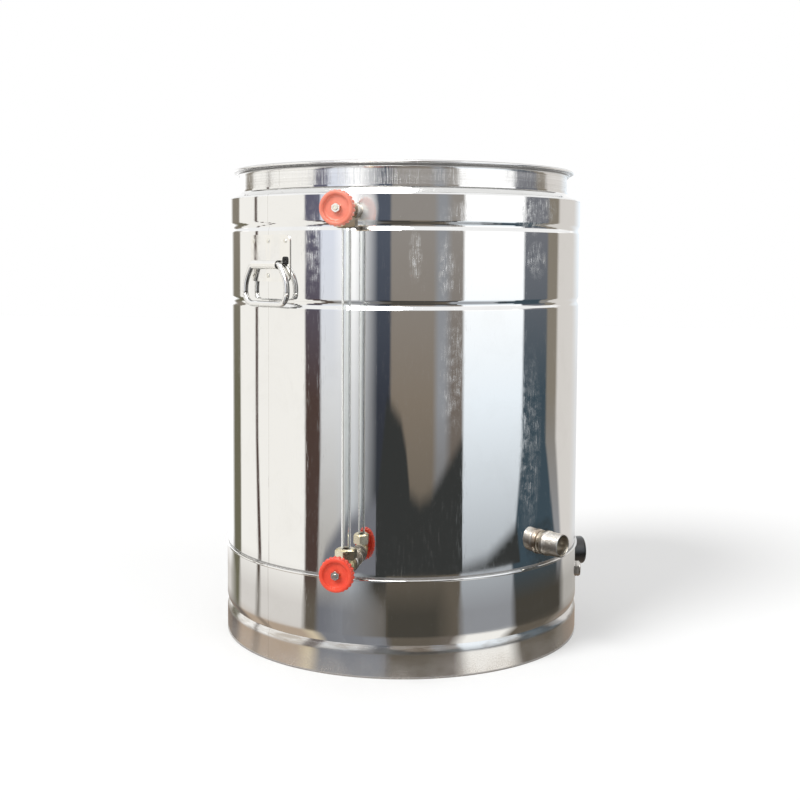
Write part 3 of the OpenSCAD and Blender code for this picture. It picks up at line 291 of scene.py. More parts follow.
def sheetFinish(name, radius, wave, dust=None, rubbed=False, welded=False):
    mat, tree, shader = newFinish(name)
    flat, along, high, angle = wrapPoint(tree, radius)
    ripple = noiseAt(tree, stretchAt(tree, flat, (1, 0.45, 1)), 11.0, 1.0)
    smudge = noiseAt(tree, flat, 17.0, 6.0, 0.62, 0.6)
    hairs, slant, cross = [scratchMask(tree, flat, *line) for line in sheetHairs]
    specks = mapRange(tree, noiseAt(tree, flat, 900.0, 2.0), 0.70, 0.78)
    marks = doMath(tree, "ADD", hairs, doMath(tree, "ADD", slant, cross), True)
    marks = addShare(tree, marks, specks, 0.6)
    rough = mapRange(tree, smudge, 0.42, 0.75, polish["smooth"], polish["smudged"])
    rough = addShare(tree, rough, marks, 0.16)
    tone = mixColour(tree, mapRange(tree, smudge, 0.5, 0.85, 0, 0.55), polish["steel"], polish["dull"])
    tone = mixColour(tree, doMath(tree, "MULTIPLY", marks, 0.25), tone, polish["scratchTone"])
    normal = bumpFrom(tree, ripple, 1.0, wave)
    normal = bumpFrom(tree, marks, 0.06, 0.0002, normal)
    worn = doMath(tree, "MULTIPLY", marks, 0.26)
    if rubbed:
        where = largest(tree, [patchMask(tree, along, high, spot, radius) for spot in scuffs])
        strokes = [noiseAt(tree, stretchAt(tree, flat, (fine, longWay, 1), turn), 1.0, 2.0, 0.5, warp)
                   for fine, longWay, turn, warp in rubStrokes]
        ragged = mapRange(tree, noiseAt(tree, flat, 85.0, 4.0, 0.6), 0.38, 0.6)
        where = doMath(tree, "MULTIPLY", where, ragged)
        rub = doMath(tree, "MULTIPLY", mapRange(tree, largest(tree, strokes), 0.54, 0.70), where)
        worn = addShare(tree, addShare(tree, worn, rub, 0.62), where, 0.06)
        worn = doMath(tree, "MAXIMUM", worn, patchMask(tree, along, high, polish["wiped"], radius))
        rough = addShare(tree, addShare(tree, rough, where, 0.05), rub, 0.24)
        tone = mixColour(tree, doMath(tree, "MULTIPLY", rub, 0.4), tone, polish["rubTone"])
        normal = bumpFrom(tree, rub, 0.22, 0.0001, normal)
    bead = seamMask(tree, angle, radius)
    pearl = noiseAt(tree, stretchAt(tree, flat, (90, 900, 1)), 1.0, 2.0)
    tint = doMath(tree, "MULTIPLY", bead, mapRange(tree, pearl, 0.3, 0.7, 0.25, 0.6))
    tone = mixColour(tree, tint, tone, polish["seamTone"])
    normal = bumpFrom(tree, bead, 0.35, 0.0002, normal)
    if welded:
        # painted shade where the jacket meets the skirt's rolled edge
        line = levelLine(tree, high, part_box("base_skirt")[1].z + polish["jointRise"])
        tone = mixColour(tree, line, tone, polish["jointShadeTone"])
        worn = doMath(tree, "MAXIMUM", worn, line)
        root = (outletAngle, outletLevel, polish["heatReach"], polish["heatReach"], 0.8)
        heat = patchMask(tree, along, high, root, radius)
        heat = doMath(tree, "MULTIPLY", heat, mapRange(tree, noiseAt(tree, flat, 60.0, 4.0), 0.3, 0.65))
        tone = mixColour(tree, heat, tone, polish["heatTone"])
        rough = addShare(tree, rough, heat, 0.14)
    if dust:
        low = mapRange(tree, high, 0.002, dust, 1.0, 0.0)
        grain = noiseAt(tree, flat, 700.0, 3.0)
        cloud = noiseAt(tree, flat, 26.0, 4.0)
        lie = doMath(tree, "MULTIPLY", low, mapRange(tree, cloud, 0.35, 0.65, 0.2, 1.0))
        lie = doMath(tree, "MULTIPLY", lie, mapRange(tree, grain, 0.42, 0.6, 0.3, 1.0))
        tone = mixColour(tree, doMath(tree, "MULTIPLY", lie, 0.7), tone, skirtDirtAndShade["dust"])
        rough = addShare(tree, rough, lie, 0.25)
        rough = doMath(tree, "ADD", rough, mapRange(tree, high, 0.0, 0.05, 0.05, 0.0), True)
        crease = doMath(tree, "ABSOLUTE", doMath(tree, "SUBTRACT", high, skirtDirtAndShade["swage"]))
        crease = mapRange(tree, crease, 0.0035, 0.0065, 1.0, 0.0)
        rough = addShare(tree, rough, crease, 0.09)
        worn = addShare(tree, worn, crease, 0.12)
        soil = noiseAt(tree, stretchAt(tree, flat, (16, 90, 1)), 1.0, 3.0)
        soil = doMath(tree, "MULTIPLY", mapRange(tree, soil, 0.42, 0.62, 0.0, 0.65), crease)
        tone = mixColour(tree, soil, tone, skirtDirtAndShade["soil"])
        # painted shade: a dark line along the very foot, where the skirt meets the floor
        foot = mapRange(tree, high, 0.0008, 0.0032, 0.85, 0.0)
        tone = mixColour(tree, foot, tone, skirtDirtAndShade["foot"])
        worn = doMath(tree, "MAXIMUM", worn, foot)
        crumbs = mapRange(tree, noiseAt(tree, flat, 560.0, 2.0), 0.60, 0.68)
        clumps = doMath(tree, "MULTIPLY", low, mapRange(tree, cloud, 0.45, 0.6))
        crumbs = doMath(tree, "MULTIPLY", crumbs, clumps)
        tone = mixColour(tree, crumbs, tone, skirtDirtAndShade["crumb"])
        worn = addShare(tree, worn, doMath(tree, "MAXIMUM", crumbs, lie), 0.5)
    joinUp(tree, shader, tone, rough, normal)
    tree.links.new(doMath(tree, "SUBTRACT", 1.0, worn), shader.inputs["Metallic"])
    return mat


# brushed sheet of the vessel: rings left by turning, with rubbed patches
brushed = {
    "steel": (0.93, 0.93, 0.925, 1), "dark": (0.80, 0.795, 0.785, 1),
    "scratchTone": (0.93, 0.93, 0.93, 1), "seamTone": (0.45, 0.43, 0.40, 1),
    "paintedShade": (0.16, 0.15, 0.14, 1), "streaks": 420.0, "lip": 0.0062,
}
brushedHairs = [(86, 1500, 16, 0.55, 0.7, 1.4), (24, 1300, 34, 0.6, 0.74, 3.6)]


def brushedFinish(name, radius):
    mat, tree, shader = newFinish(name)
    flat, _, high, angle = wrapPoint(tree, radius)
    streak = noiseAt(tree, stretchAt(tree, flat, (5, brushed["streaks"], 1)), 1.0, 5.0, 0.7)
    broad = noiseAt(tree, stretchAt(tree, flat, (3, 60, 1)), 1.0, 3.0)
    marks = [scratchMask(tree, flat, *line) for line in brushedHairs]
    marks = doMath(tree, "ADD", *marks, True)
    tone = mixColour(tree, mapRange(tree, streak, 0.35, 0.7), brushed["dark"], brushed["steel"])
    tone = mixColour(tree, doMath(tree, "MULTIPLY", marks, 0.5), tone, brushed["scratchTone"])
    rough = mapRange(tree, broad, 0.3, 0.7, 0.08, 0.18)
    rough = addShare(tree, rough, marks, 0.2)
    normal = bumpFrom(tree, streak, 0.07, 0.0002)
    normal = bumpFrom(tree, marks, 0.25, 0.0002, normal)
    bead = seamMask(tree, angle, radius)
    tone = mixColour(tree, doMath(tree, "MULTIPLY", bead, 0.5), tone, brushed["seamTone"])
    # the rolled lip: painted shade in the fold under it and on its sides where it turns aside, and a dark
    # line along its crown
    lipTop = cadBox[1].z
    fold = levelLine(tree, high, lipTop - brushed["lip"])
    crown = mapRange(tree, high, lipTop - 0.0011, lipTop - 0.0003, 0.0, 0.75)
    outline = mapRange(tree, high, lipTop - 0.009, lipTop - 0.006)
    outline = doMath(tree, "MULTIPLY", outline, sideShadeMask(tree, 0.7))
    paintedShade = largest(tree, [outline, fold, crown])
    tone = mixColour(tree, paintedShade, tone, brushed["paintedShade"])
    joinUp(tree, shader, tone, rough, normal)
    tree.links.new(doMath(tree, "SUBTRACT", 1.0, paintedShade), shader.inputs["Metallic"])
    return mat


# small metal parts: cast, turned or plated
# rubbed is the tone of worn edges; the two dark tones are painted shade, one for faces turned downwards, one
# for the sides of bars and bodies
metalWear = {
    "rubbed": (0.93, 0.91, 0.86, 1), "paintedShade": (0.13, 0.10, 0.07, 1), "outline": (0.10, 0.095, 0.085, 1),
}


def metalFinish(name, tone, worn, rough, grain=900.0, relief=0.00002, stain=None, rim=0.0, under=0.0):
    mat, tree, shader = newFinish(name)
    where = objectPoint(tree)
    shape = addNode(tree, "NewGeometry")
    cloud = noiseAt(tree, where, 70.0, 5.0, 0.6)
    fine = noiseAt(tree, where, grain, 3.0)
    hairs = noiseAt(tree, stretchAt(tree, where, (1400, 160, 1100), 20), 1.0, 2.0)
    rub = mapRange(tree, shape.outputs["Pointiness"], 0.52, 0.60)
    colour = mixColour(tree, mapRange(tree, cloud, 0.35, 0.7, 0, 0.8), tone, worn)
    if stain:
        pits = mapRange(tree, noiseAt(tree, where, 150.0, 5.0, 0.65), 0.55, 0.7)
        colour = mixColour(tree, doMath(tree, "MULTIPLY", pits, 0.6), colour, stain)
    colour = mixColour(tree, doMath(tree, "MULTIPLY", rub, 0.5), colour, metalWear["rubbed"])
    # painted shade: faces turned downwards are drawn darker
    if under:
        facing = addNode(tree, "SeparateXYZ", {0: shape.outputs["Normal"]})
        shade = mapRange(tree, facing.outputs[2], 0.30, -0.35, 0.0, under)
        shade = doMath(tree, "MULTIPLY", shade, mapRange(tree, cloud, 0.3, 0.6, 0.7, 1.0))
        colour = mixColour(tree, shade, colour, metalWear["paintedShade"])
    # painted shade: sides that turn aside from straight outwards are drawn darker
    if rim:
        colour = mixColour(tree, sideShadeMask(tree, rim), colour, metalWear["outline"])
    shine = mapRange(tree, cloud, 0.3, 0.75, rough, rough + 0.16)
    shine = doMath(tree, "ADD", shine, mapRange(tree, hairs, 0.62, 0.72, 0, 0.12), True)
    normal = bumpFrom(tree, doMath(tree, "ADD", fine, hairs), 0.35, relief)
    joinUp(tree, shader, colour, shine, normal)
    shader.inputs["Metallic"].default_value = 1.0
    return mat


# paint, plastic, rubber and ceramic
def coatFinish(name, tone, faded, rough, scale=60.0, relief=0.00006, coat=0.0, worn=None, gloss=0.5):
    mat, tree, shader = newFinish(name)
    where = objectPoint(tree)
    cloud = noiseAt(tree, where, scale, 4.0)
    fine = noiseAt(tree, where, 1300.0, 3.0)
    hairs = noiseAt(tree, stretchAt(tree, where, (1500, 120, 900), 35), 1.0, 2.0)
    colour = mixColour(tree, mapRange(tree, cloud, 0.35, 0.7), tone, faded)
    if worn:
        edge = addNode(tree, "NewGeometry").outputs["Pointiness"]
        rub = doMath(tree, "MULTIPLY", mapRange(tree, edge, 0.54, 0.62), mapRange(tree, cloud, 0.4, 0.6))
        colour = mixColour(tree, doMath(tree, "MULTIPLY", rub, 0.5), colour, worn)
    shine = mapRange(tree, cloud, 0.3, 0.7, rough, rough + 0.1)
    shine = doMath(tree, "ADD", shine, mapRange(tree, hairs, 0.62, 0.72, 0, 0.15), True)
    normal = bumpFrom(tree, fine, 0.3, relief)
    joinUp(tree, shader, colour, shine, normal)
    shader.inputs["Specular IOR Level"].default_value = gloss
    shader.inputs["Coat Weight"].default_value = coat
    shader.inputs["Coat Roughness"].default_value = 0.12
    return mat


# drawn glass tube: faint lines along it and a trace of haze
tubeGlass = {"tint": (0.985, 0.995, 0.99, 1), "haze": (0.95, 0.97, 0.95, 1), "index": 1.47}


def glassFinish(name):
    mat, tree, shader = newFinish(name)
    where = objectPoint(tree)
    lines = noiseAt(tree, stretchAt(tree, where, (900, 900, 6)), 1.0, 2.0)
    haze = noiseAt(tree, where, 40.0, 5.0)
    tone = mixColour(tree, mapRange(tree, haze, 0.4, 0.8), tubeGlass["tint"], tubeGlass["haze"])
    rough = mapRange(tree, haze, 0.45, 0.8, 0.0, 0.08)
    edge = addNode(tree, "LayerWeight", {"Blend": 0.5}).outputs["Facing"]
    joinUp(tree, shader, tone, rough, bumpFrom(tree, lines, 0.1, 0.0001))
    tree.links.new(mapRange(tree, edge, 0.35, 0.6, 1.0, 0.3), shader.inputs["Transmission Weight"])
    shader.inputs["IOR"].default_value = tubeGlass["index"]
    return mat


jacketSheet = sheetFinish("polishedJacket", jacketRadius, 0.00014, rubbed=True, welded=True)
skirtSheet = sheetFinish("polishedSkirt", skirtRadius, 0.00012, dust=0.034)
vesselSheet = brushedFinish("brushedVessel", vesselRadius)
# under paints shade on faces turned downwards and rim paints shade on the sides of bars and bodies
baseSheet = metalFinish("dullBaseSheet", (0.70, 0.70, 0.69, 1), (0.55, 0.54, 0.52, 1), 0.28)
screwSteel = metalFinish("screwSteel", (0.88, 0.86, 0.78, 1), (0.74, 0.72, 0.64, 1), 0.20)
rootPipe = metalFinish("strawSteel", (0.84, 0.78, 0.62, 1), (0.70, 0.64, 0.50, 1), 0.20, under=0.85)
nickel = metalFinish("platedNickel", (0.91, 0.88, 0.83, 1), (0.82, 0.76, 0.68, 1), 0.24, under=0.85)
valveBrass = metalFinish("valveBrass", (0.94, 0.82, 0.50, 1), (0.82, 0.68, 0.38, 1), 0.24,
                         stain=(0.52, 0.38, 0.20, 1), under=0.35)
agedBrass = metalFinish("agedBrass", (0.80, 0.52, 0.16, 1), (0.46, 0.27, 0.08, 1), 0.24,
                        stain=(0.20, 0.11, 0.04, 1), rim=0.5, under=0.5)
glandNickel = metalFinish("glandNickel", (0.60, 0.58, 0.55, 1), (0.36, 0.34, 0.31, 1), 0.22, under=0.8)
spindleSteel = metalFinish("spindleSteel", (0.88, 0.84, 0.70, 1), (0.72, 0.68, 0.56, 1), 0.16)
wheelPaint = coatFinish("redWheel", (0.81, 0.070, 0.038, 1), (0.86, 0.100, 0.054, 1), 0.20,
                        worn=(0.90, 0.34, 0.22, 1), coat=0.35, gloss=0.3)
# painted light: the upper wheel has the same red paint as the lower one, drawn paler for the glare on it
paleLitPaint = coatFinish("paleLitWheel", (0.88, 0.24, 0.16, 1), (0.92, 0.30, 0.21, 1), 0.22,
                        worn=(0.95, 0.45, 0.36, 1), coat=0.35, gloss=0.4)
slotShade = coatFinish("slotShade", (0.010, 0.010, 0.010, 1), (0.020, 0.019, 0.018, 1), 0.7)
sealRubber = coatFinish("sealRubber", (0.016, 0.015, 0.014, 1), (0.035, 0.033, 0.031, 1), 0.55, relief=0.0002)
handleSteel = metalFinish("handleSteel", (0.87, 0.87, 0.865, 1), (0.82, 0.82, 0.81, 1), 0.035)
barSteel = metalFinish("barSteel", (0.87, 0.87, 0.865, 1), (0.82, 0.82, 0.81, 1), 0.06, rim=0.75)
caseFinish = coatFinish("paleCase", (0.70, 0.69, 0.66, 1), (0.62, 0.61, 0.58, 1), 0.42)
knobBlack = coatFinish("blackKnob", (0.012, 0.012, 0.013, 1), (0.022, 0.022, 0.023, 1), 0.16, coat=0.8)
copperTone = metalFinish("copper", (0.80, 0.42, 0.26, 1), (0.56, 0.30, 0.20, 1), 0.22)
heaterSteel = metalFinish("heaterSteel", (0.50, 0.48, 0.45, 1), (0.36, 0.33, 0.30, 1), 0.34)
ceramicWhite = coatFinish("terminalCeramic", (0.80, 0.78, 0.72, 1), (0.70, 0.68, 0.62, 1), 0.30)
socketSteel = metalFinish("socketSteel", (0.76, 0.75, 0.73, 1), (0.60, 0.58, 0.55, 1), 0.20)
boreSteel = metalFinish("boreSteel", (0.88, 0.80, 0.67, 1), (0.74, 0.65, 0.52, 1), 0.40, under=0.8)
weldSteel = metalFinish("weldSteel", (0.72, 0.66, 0.56, 1), (0.42, 0.33, 0.24, 1), 0.26, relief=0.0001)
gaugeGlass = glassFinish("gaugeGlass")

finishes = {
    "vessel_steel": vesselSheet, "jacket_steel": jacketSheet, "skirt_steel": skirtSheet,
    "base_steel": baseSheet, "fastener_steel": screwSteel, "outlet_pipe": rootPipe,
    "nickel_plate": nickel, "brass": valveBrass, "spindle_steel": spindleSteel,
    "red_paint": wheelPaint, "seal_rubber": sealRubber, "gauge_glass": gaugeGlass,
    "handle_steel": handleSteel, "thermostat_case": caseFinish, "knob_plastic": knobBlack,
    "copper": copperTone, "heater_steel": heaterSteel, "ceramic": ceramicWhite,
    "socket_steel": socketSteel,
}

# parts that have aged more than the rest of their kind
ownFinish = {"upper_valve_body": agedBrass, "upper_union_nut": agedBrass,
             "cable_gland": glandNickel, "gland_dome_nut": glandNickel}

for entry in frame["record"]["subparts"]:
    part = nodes[entry["node"]]
    part.data.materials.clear()
    part.data.materials.append(ownFinish.get(entry["node"], finishes[entry["material_slot"]]))
print("finishes given to", len(nodes), "nodes")

# threaded end of the outlet: its screw thread, ring and bore, on the solid's own sizes
nipple = {
    "angle": outletAngle,
    "back": 0.262, "mouth": 0.292, "radius": 0.016, "bevel": 0.001,
    "ringStart": 0.264, "ringEnd": 0.271, "ringRadius": 0.017,
    "bore": 0.0138, "plugBore": 0.01475, "plugEnd": 0.27115,
    "pitch": 0.0023, "depth": 0.0010, "threadRows": 84, "steps": 96,
}


def newPiece(name, points, faces, finish, body):
    mesh = bpy.data.meshes.new(name)
    mesh.from_pydata([tuple(v) for v in points], [], faces)
    mesh.validate()
    work = bmesh.new()
    work.from_mesh(mesh)
    bmesh.ops.recalc_face_normals(work, faces=work.faces)
    work.to_mesh(mesh)
    work.free()
    for face in mesh.polygons:
        face.use_smooth = True
    mesh.materials.append(finish)
    piece = bpy.data.objects.new(name, mesh)
    scene.collection.objects.link(piece)
    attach(piece, body)
    return piece


def onTank(angle, out, aside, height):
    # a point given by its distance from the axis, sideways shift and height
    a = math.radians(angle)
    outward = Vector((math.sin(a), -math.cos(a), 0))
    sideways = Vector((math.cos(a), math.sin(a), 0))
    return outward * out + sideways * aside + Vector((0, 0, height))


def closedLathe(rows, steps):
    faces = []
    for r in range(rows):
        for c in range(steps):
            a, b = r * steps + c, r * steps + (c + 1) % steps
            low, high = ((r + 1) % rows) * steps + c, ((r + 1) % rows) * steps + (c + 1) % steps
            faces.append((a, b, high, low))
    return faces


def makeNipple(n):
    bevel = n["bevel"]
    # distance out, radius, share of the thread's depth
    rows = [(n["back"], n["radius"] - bevel, 0), (n["back"] + bevel, n["radius"], 0),
            (n["ringStart"], n["radius"], 0),
            (n["ringStart"] + bevel * 0.3, n["ringRadius"] - bevel * 0.5, 0),
            (n["ringStart"] + bevel, n["ringRadius"], 0), (n["ringEnd"] - bevel, n["ringRadius"], 0),
            (n["ringEnd"] - bevel * 0.3, n["ringRadius"] - bevel * 0.5, 0), (n["ringEnd"], n["radius"], 0)]
    run = n["mouth"] - bevel - n["ringEnd"]
    count = n["threadRows"]
    for i in range(1, count):
        # the thread grows shallow towards both ends
        share = min(1.0, 6 * i / count, 14 * (count - i) / count)
        rows.append((n["ringEnd"] + run * i / count, n["radius"], share))
    rows += [(n["mouth"] - bevel, n["radius"] - bevel * 0.4, 0), (n["mouth"], n["radius"] - bevel, 0),
             (n["mouth"], n["bore"] + bevel * 0.3, 0), (n["mouth"] - bevel * 0.4, n["bore"], 0),
             (n["plugEnd"], n["bore"], 0), (n["plugEnd"], n["plugBore"], 0), (n["back"], n["plugBore"], 0)]
    points = []
    for out, radius, share in rows:
        for c in range(n["steps"]):
            turn = c / n["steps"]
            phase = ((out - n["ringEnd"]) / n["pitch"] - turn) % 1.0
            groove = abs(2 * phase - 1)
            rim = radius - n["depth"] * share * min(1.0, max(0.0, 1.3 * groove - 0.15))
            t = 2 * math.pi * turn
            points.append(onTank(n["angle"], out, rim * math.cos(t), outletLevel + rim * math.sin(t)))
    faces = closedLathe(len(rows), n["steps"])
    piece = newPiece("outletThread", points, faces, nickel, "tank")
    piece.data.materials.append(boreSteel)
    inside = (len(rows) - 4) * n["steps"]       # the last four rows line the bore
    for face in piece.data.polygons:
        if min(face.vertices) >= inside:
            face.material_index = 1
    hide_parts("outlet_nipple")
    return piece


makeNipple(nipple)
print("outlet thread made")

# red handwheels: a smooth ring in front of the fluted grip, and a dished face
wheel = {
    "thick": 0.0125, "grip": 0.0225, "flutes": 24, "groove": 0.0015,
    "ring": 0.0211, "opening": 0.0163, "ringHigh": 0.0014, "dish": 0.0122, "dishDeep": 0.0040,
    "gripFrom": 0.0052, "neck": 0.0008, "edgeRound": 0.003,
    "webBack": 0.0076, "rimInside": 0.0145, "hub": 0.0075, "bore": 0.0031, "columns": 288,
}


def wheelRows(w, hubDeep):
    # depth behind the front, radius, share of the flutes
    rows = [(w["dishDeep"], w["bore"], 0), (w["dishDeep"], w["hub"], 0)]
    for i in range(9):
        a = math.radians(90 * i / 8)
        rows.append((w["dishDeep"] - (w["dishDeep"] - w["ringHigh"]) * (1 - math.cos(a)),
                     w["dish"] + (w["opening"] - w["dish"]) * math.sin(a), 0))
    middle, half = (w["ring"] + w["opening"]) / 2, (w["ring"] - w["opening"]) / 2
    for i in range(1, 13):
        a = math.radians(180 * i / 12)
        rows.append((w["ringHigh"] * (1 - math.sin(a)), middle - half * math.cos(a), 0))
    rows += [(w["ringHigh"] * 1.6, w["ring"], 0), (w["gripFrom"] - w["neck"], w["ring"], 0)]
    shoulder = w["grip"] - w["ring"]
    for i in range(1, 6):
        a = math.radians(90 * i / 5)
        rows.append((w["gripFrom"] + shoulder * (1 - math.cos(a)),
                     w["grip"] - shoulder * (1 - math.sin(a)), math.sin(a)))
    edge = w["edgeRound"]
    for i in range(7):
        a = math.radians(90 * i / 6)
        rows.append((w["thick"] - edge + edge * math.sin(a),
                     w["grip"] - edge + edge * math.cos(a), math.cos(a)))
    rows += [(w["thick"], w["rimInside"], 0), (w["webBack"], w["rimInside"], 0), (w["webBack"], w["hub"], 0),
             (hubDeep, w["hub"], 0), (hubDeep, w["bore"], 0)]
    return rows


def makeWheel(name, node, finish, w):
    low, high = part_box(node)
    front, level = -low.y, (low.z + high.z) / 2
    rows = wheelRows(w, high.y - low.y)
    points = []
    for depth, radius, share in rows:
        for c in range(w["columns"]):
            t = 2 * math.pi * c / w["columns"]
            rim = radius - w["groove"] * share * (0.5 + 0.5 * math.cos(w["flutes"] * t)) ** 1.4
            points.append(onTank(0, front - depth, rim * math.sin(t), level + rim * math.cos(t)))
    piece = newPiece(name, points, closedLathe(len(rows), w["columns"]), finish, node)
    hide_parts(node)
    return piece


makeWheel("lowerWheel", "lower_handwheel", wheelPaint, wheel)
makeWheel("upperWheel", "upper_handwheel", paleLitPaint, wheel)

# drop rings of the handles: corners as sideways shift, drop and length of the bend, then mirrored
dropRing = {
    "rod": 0.004, "out": 0.2652, "sides": 20, "bendSteps": 12,
    "corners": [(0.0290, 0.0, 0.0042), (0.0440, 0.0250, 0.0150), (0.0405, 0.0520, 0.0150)],
}
handleAngles = {"left_handle": -30.0, "right_handle": 150.0}


def ringPath(d):
    near = [Vector((x, -y)) for x, y, _ in d["corners"]]
    marks = near + [Vector((-p.x, p.y)) for p in reversed(near)]
    cuts = [c[2] for c in d["corners"]]
    cuts += cuts[::-1]
    path = []
    for i, corner in enumerate(marks):
        start = corner + (marks[i - 1] - corner).normalized() * cuts[i]
        end = corner + (marks[(i + 1) % len(marks)] - corner).normalized() * cuts[i]
        for k in range(d["bendSteps"] + 1):
            s = k / d["bendSteps"]
            path.append(start * (1 - s) ** 2 + corner * 2 * s * (1 - s) + end * s * s)
    return path


def makeDropRing(name, body, d):
    node = body + "_ring"
    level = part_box(node)[1].z - d["rod"]
    path = ringPath(d)
    points = []
    for i, spot in enumerate(path):
        ahead = (path[(i + 1) % len(path)] - path[i - 1]).normalized()
        for k in range(d["sides"]):
            q = 2 * math.pi * k / d["sides"]
            aside = spot.x + d["rod"] * math.cos(q) * ahead.y
            rise = spot.y - d["rod"] * math.cos(q) * ahead.x
            points.append(onTank(handleAngles[body], d["out"] + d["rod"] * math.sin(q), aside, level + rise))
    piece = newPiece(name, points, closedLathe(len(path), d["sides"]), barSteel, body)
    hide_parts(node)
    return piece


makeDropRing("leftDropRing", "left_handle", dropRing)
makeDropRing("rightDropRing", "right_handle", dropRing)

# painted shade: a thin dark sheet on each handle plate, beside the end of the hump, for the shade in a
# punched opening there
plateSlotShade = {
    "aside": 0.0325, "rise": 0.0055, "half": 0.0055,
    "face": 0.26080, "under": 0.26030, "crown": 0.00002, "steps": 32,
}


def makeSlotShade(name, body, s):
    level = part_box(body + "_ring")[1].z - dropRing["rod"]
    points = []
    # share of the opening, distance from the tank's axis
    rows = [(0.96, s["under"]), (1.0, s["face"]), (0.6, s["face"] + s["crown"]),
            (0.04, s["face"]), (0.04, s["under"])]
    for share, radius in rows:
        for k in range(s["steps"]):
            t = 2 * math.pi * k / s["steps"]
            size = s["half"] * share / (abs(math.cos(t)) ** 4 + abs(math.sin(t)) ** 4) ** 0.25
            turn = math.degrees((s["aside"] + size * math.cos(t)) / radius)
            rise = level + s["rise"] + size * math.sin(t)
            points.append(onTank(handleAngles[body] + turn, radius, 0, rise))
    return newPiece(name, points, closedLathe(len(rows), s["steps"]), slotShade, "tank")


makeSlotShade("leftHandleSlotShade", "left_handle", plateSlotShade)
makeSlotShade("rightHandleSlotShade", "right_handle", plateSlotShade)
print("wheels, handle rings and slots made")

# weld beads where the pipe and the gauge sleeves meet the jacket
welds = {
    "outletWeld": {"angle": outletAngle, "node": "outlet_nipple", "reach": 0.0150, "bead": 0.0011},
    "lowerSleeveWeld": {"angle": 0.0, "node": "lower_sleeve", "reach": 0.0096, "bead": 0.0013},
    "upperSleeveWeld": {"angle": 0.0, "node": "upper_sleeve", "reach": 0.0096, "bead": 0.0013},
}
weldShape = {"around": 180, "ring": 10, "scales": 30}


def makeWeld(name, w, shape):
    low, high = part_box(w["node"])
    level = (low.z + high.z) / 2
    around, ring = shape["around"], shape["ring"]
    points = []
    for i in range(around):
        t = 2 * math.pi * i / around
        scale = (i * shape["scales"] / around) % 1.0
        bead = w["bead"] * (0.86 + 0.22 * math.sin(math.pi * scale) + 0.05 * math.sin(5 * t))
        for k in range(ring):
            q = 2 * math.pi * k / ring
            reach = w["reach"] + bead * math.cos(q)
            aside = reach * math.cos(t)
            out = math.sqrt(jacketRadius ** 2 - aside ** 2) + bead * 0.8 * math.sin(q)
            points.append(onTank(w["angle"], out, aside, level + reach * math.sin(t)))
    return newPiece(name, points, closedLathe(around, ring), weldSteel, "tank")


for weldName, weldPlan in welds.items():
    makeWeld(weldName, weldPlan, weldShape)
print("weld beads made")

# pale floor
floorCard = {"size": 16.0, "tone": (0.62, 0.62, 0.617, 1), "rough": 0.9, "glow": 0.29}


def makeFloor(f):
    half = f["size"] / 2
    mesh = bpy.data.meshes.new("floor")
    corners = [(-half, -half, 0), (half, -half, 0), (half, half, 0), (-half, half, 0)]
    mesh.from_pydata(corners, [], [(0, 1, 2, 3)])
    floor = bpy.data.objects.new("floor", mesh)
    scene.collection.objects.link(floor)
    mat, tree, shader = newFinish("paleFloor")
    shader.inputs["Base Color"].default_value = f["tone"]
    shader.inputs["Roughness"].default_value = f["rough"]
    shader.inputs["Specular IOR Level"].default_value = 0.0
    shader.inputs["Emission Color"].default_value = (1, 1, 1, 1)
    tree.links.new(doMath(tree, "MULTIPLY", seenShare(tree), f["glow"]), shader.inputs["Emission Strength"])
    mesh.materials.append(mat)
    return floor


makeFloor(floorCard)

# cards round the tank that only the polished steel sees, from left to right as the lens sees them
cardTones = {
    "white": (1.25, 1.25, 1.25), "cream": (1.00, 0.98, 0.935),
    "mist": (0.80, 0.84, 0.94), "snow": (0.94, 1.01, 1.07),
    "pearl": (0.76, 0.77, 0.78), "pewter": (0.44, 0.47, 0.50), "linen": (0.46, 0.44, 0.41),
    "chalk": (0.73, 0.70, 0.665), "haze": (0.30, 0.31, 0.33), "ash": (0.18, 0.186, 0.208),
    "stone": (0.30, 0.278, 0.256), "taupe": (0.236, 0.197, 0.156), "beige": (0.256, 0.228, 0.186),
    "umber": (0.18, 0.153, 0.134), "olive": (0.162, 0.153, 0.104), "clay": (0.48, 0.38, 0.292),
    "sand": (0.68, 0.58, 0.42), "soil": (0.131, 0.112, 0.088), "loam": (0.066, 0.060, 0.049),
    "bark": (0.081, 0.052, 0.044), "plum": (0.135, 0.132, 0.185), "slate": (0.052, 0.079, 0.100),
    "dusk": (0.092, 0.107, 0.140), "night": (0.040, 0.045, 0.060), "coal": (0.040, 0.042, 0.041),
}
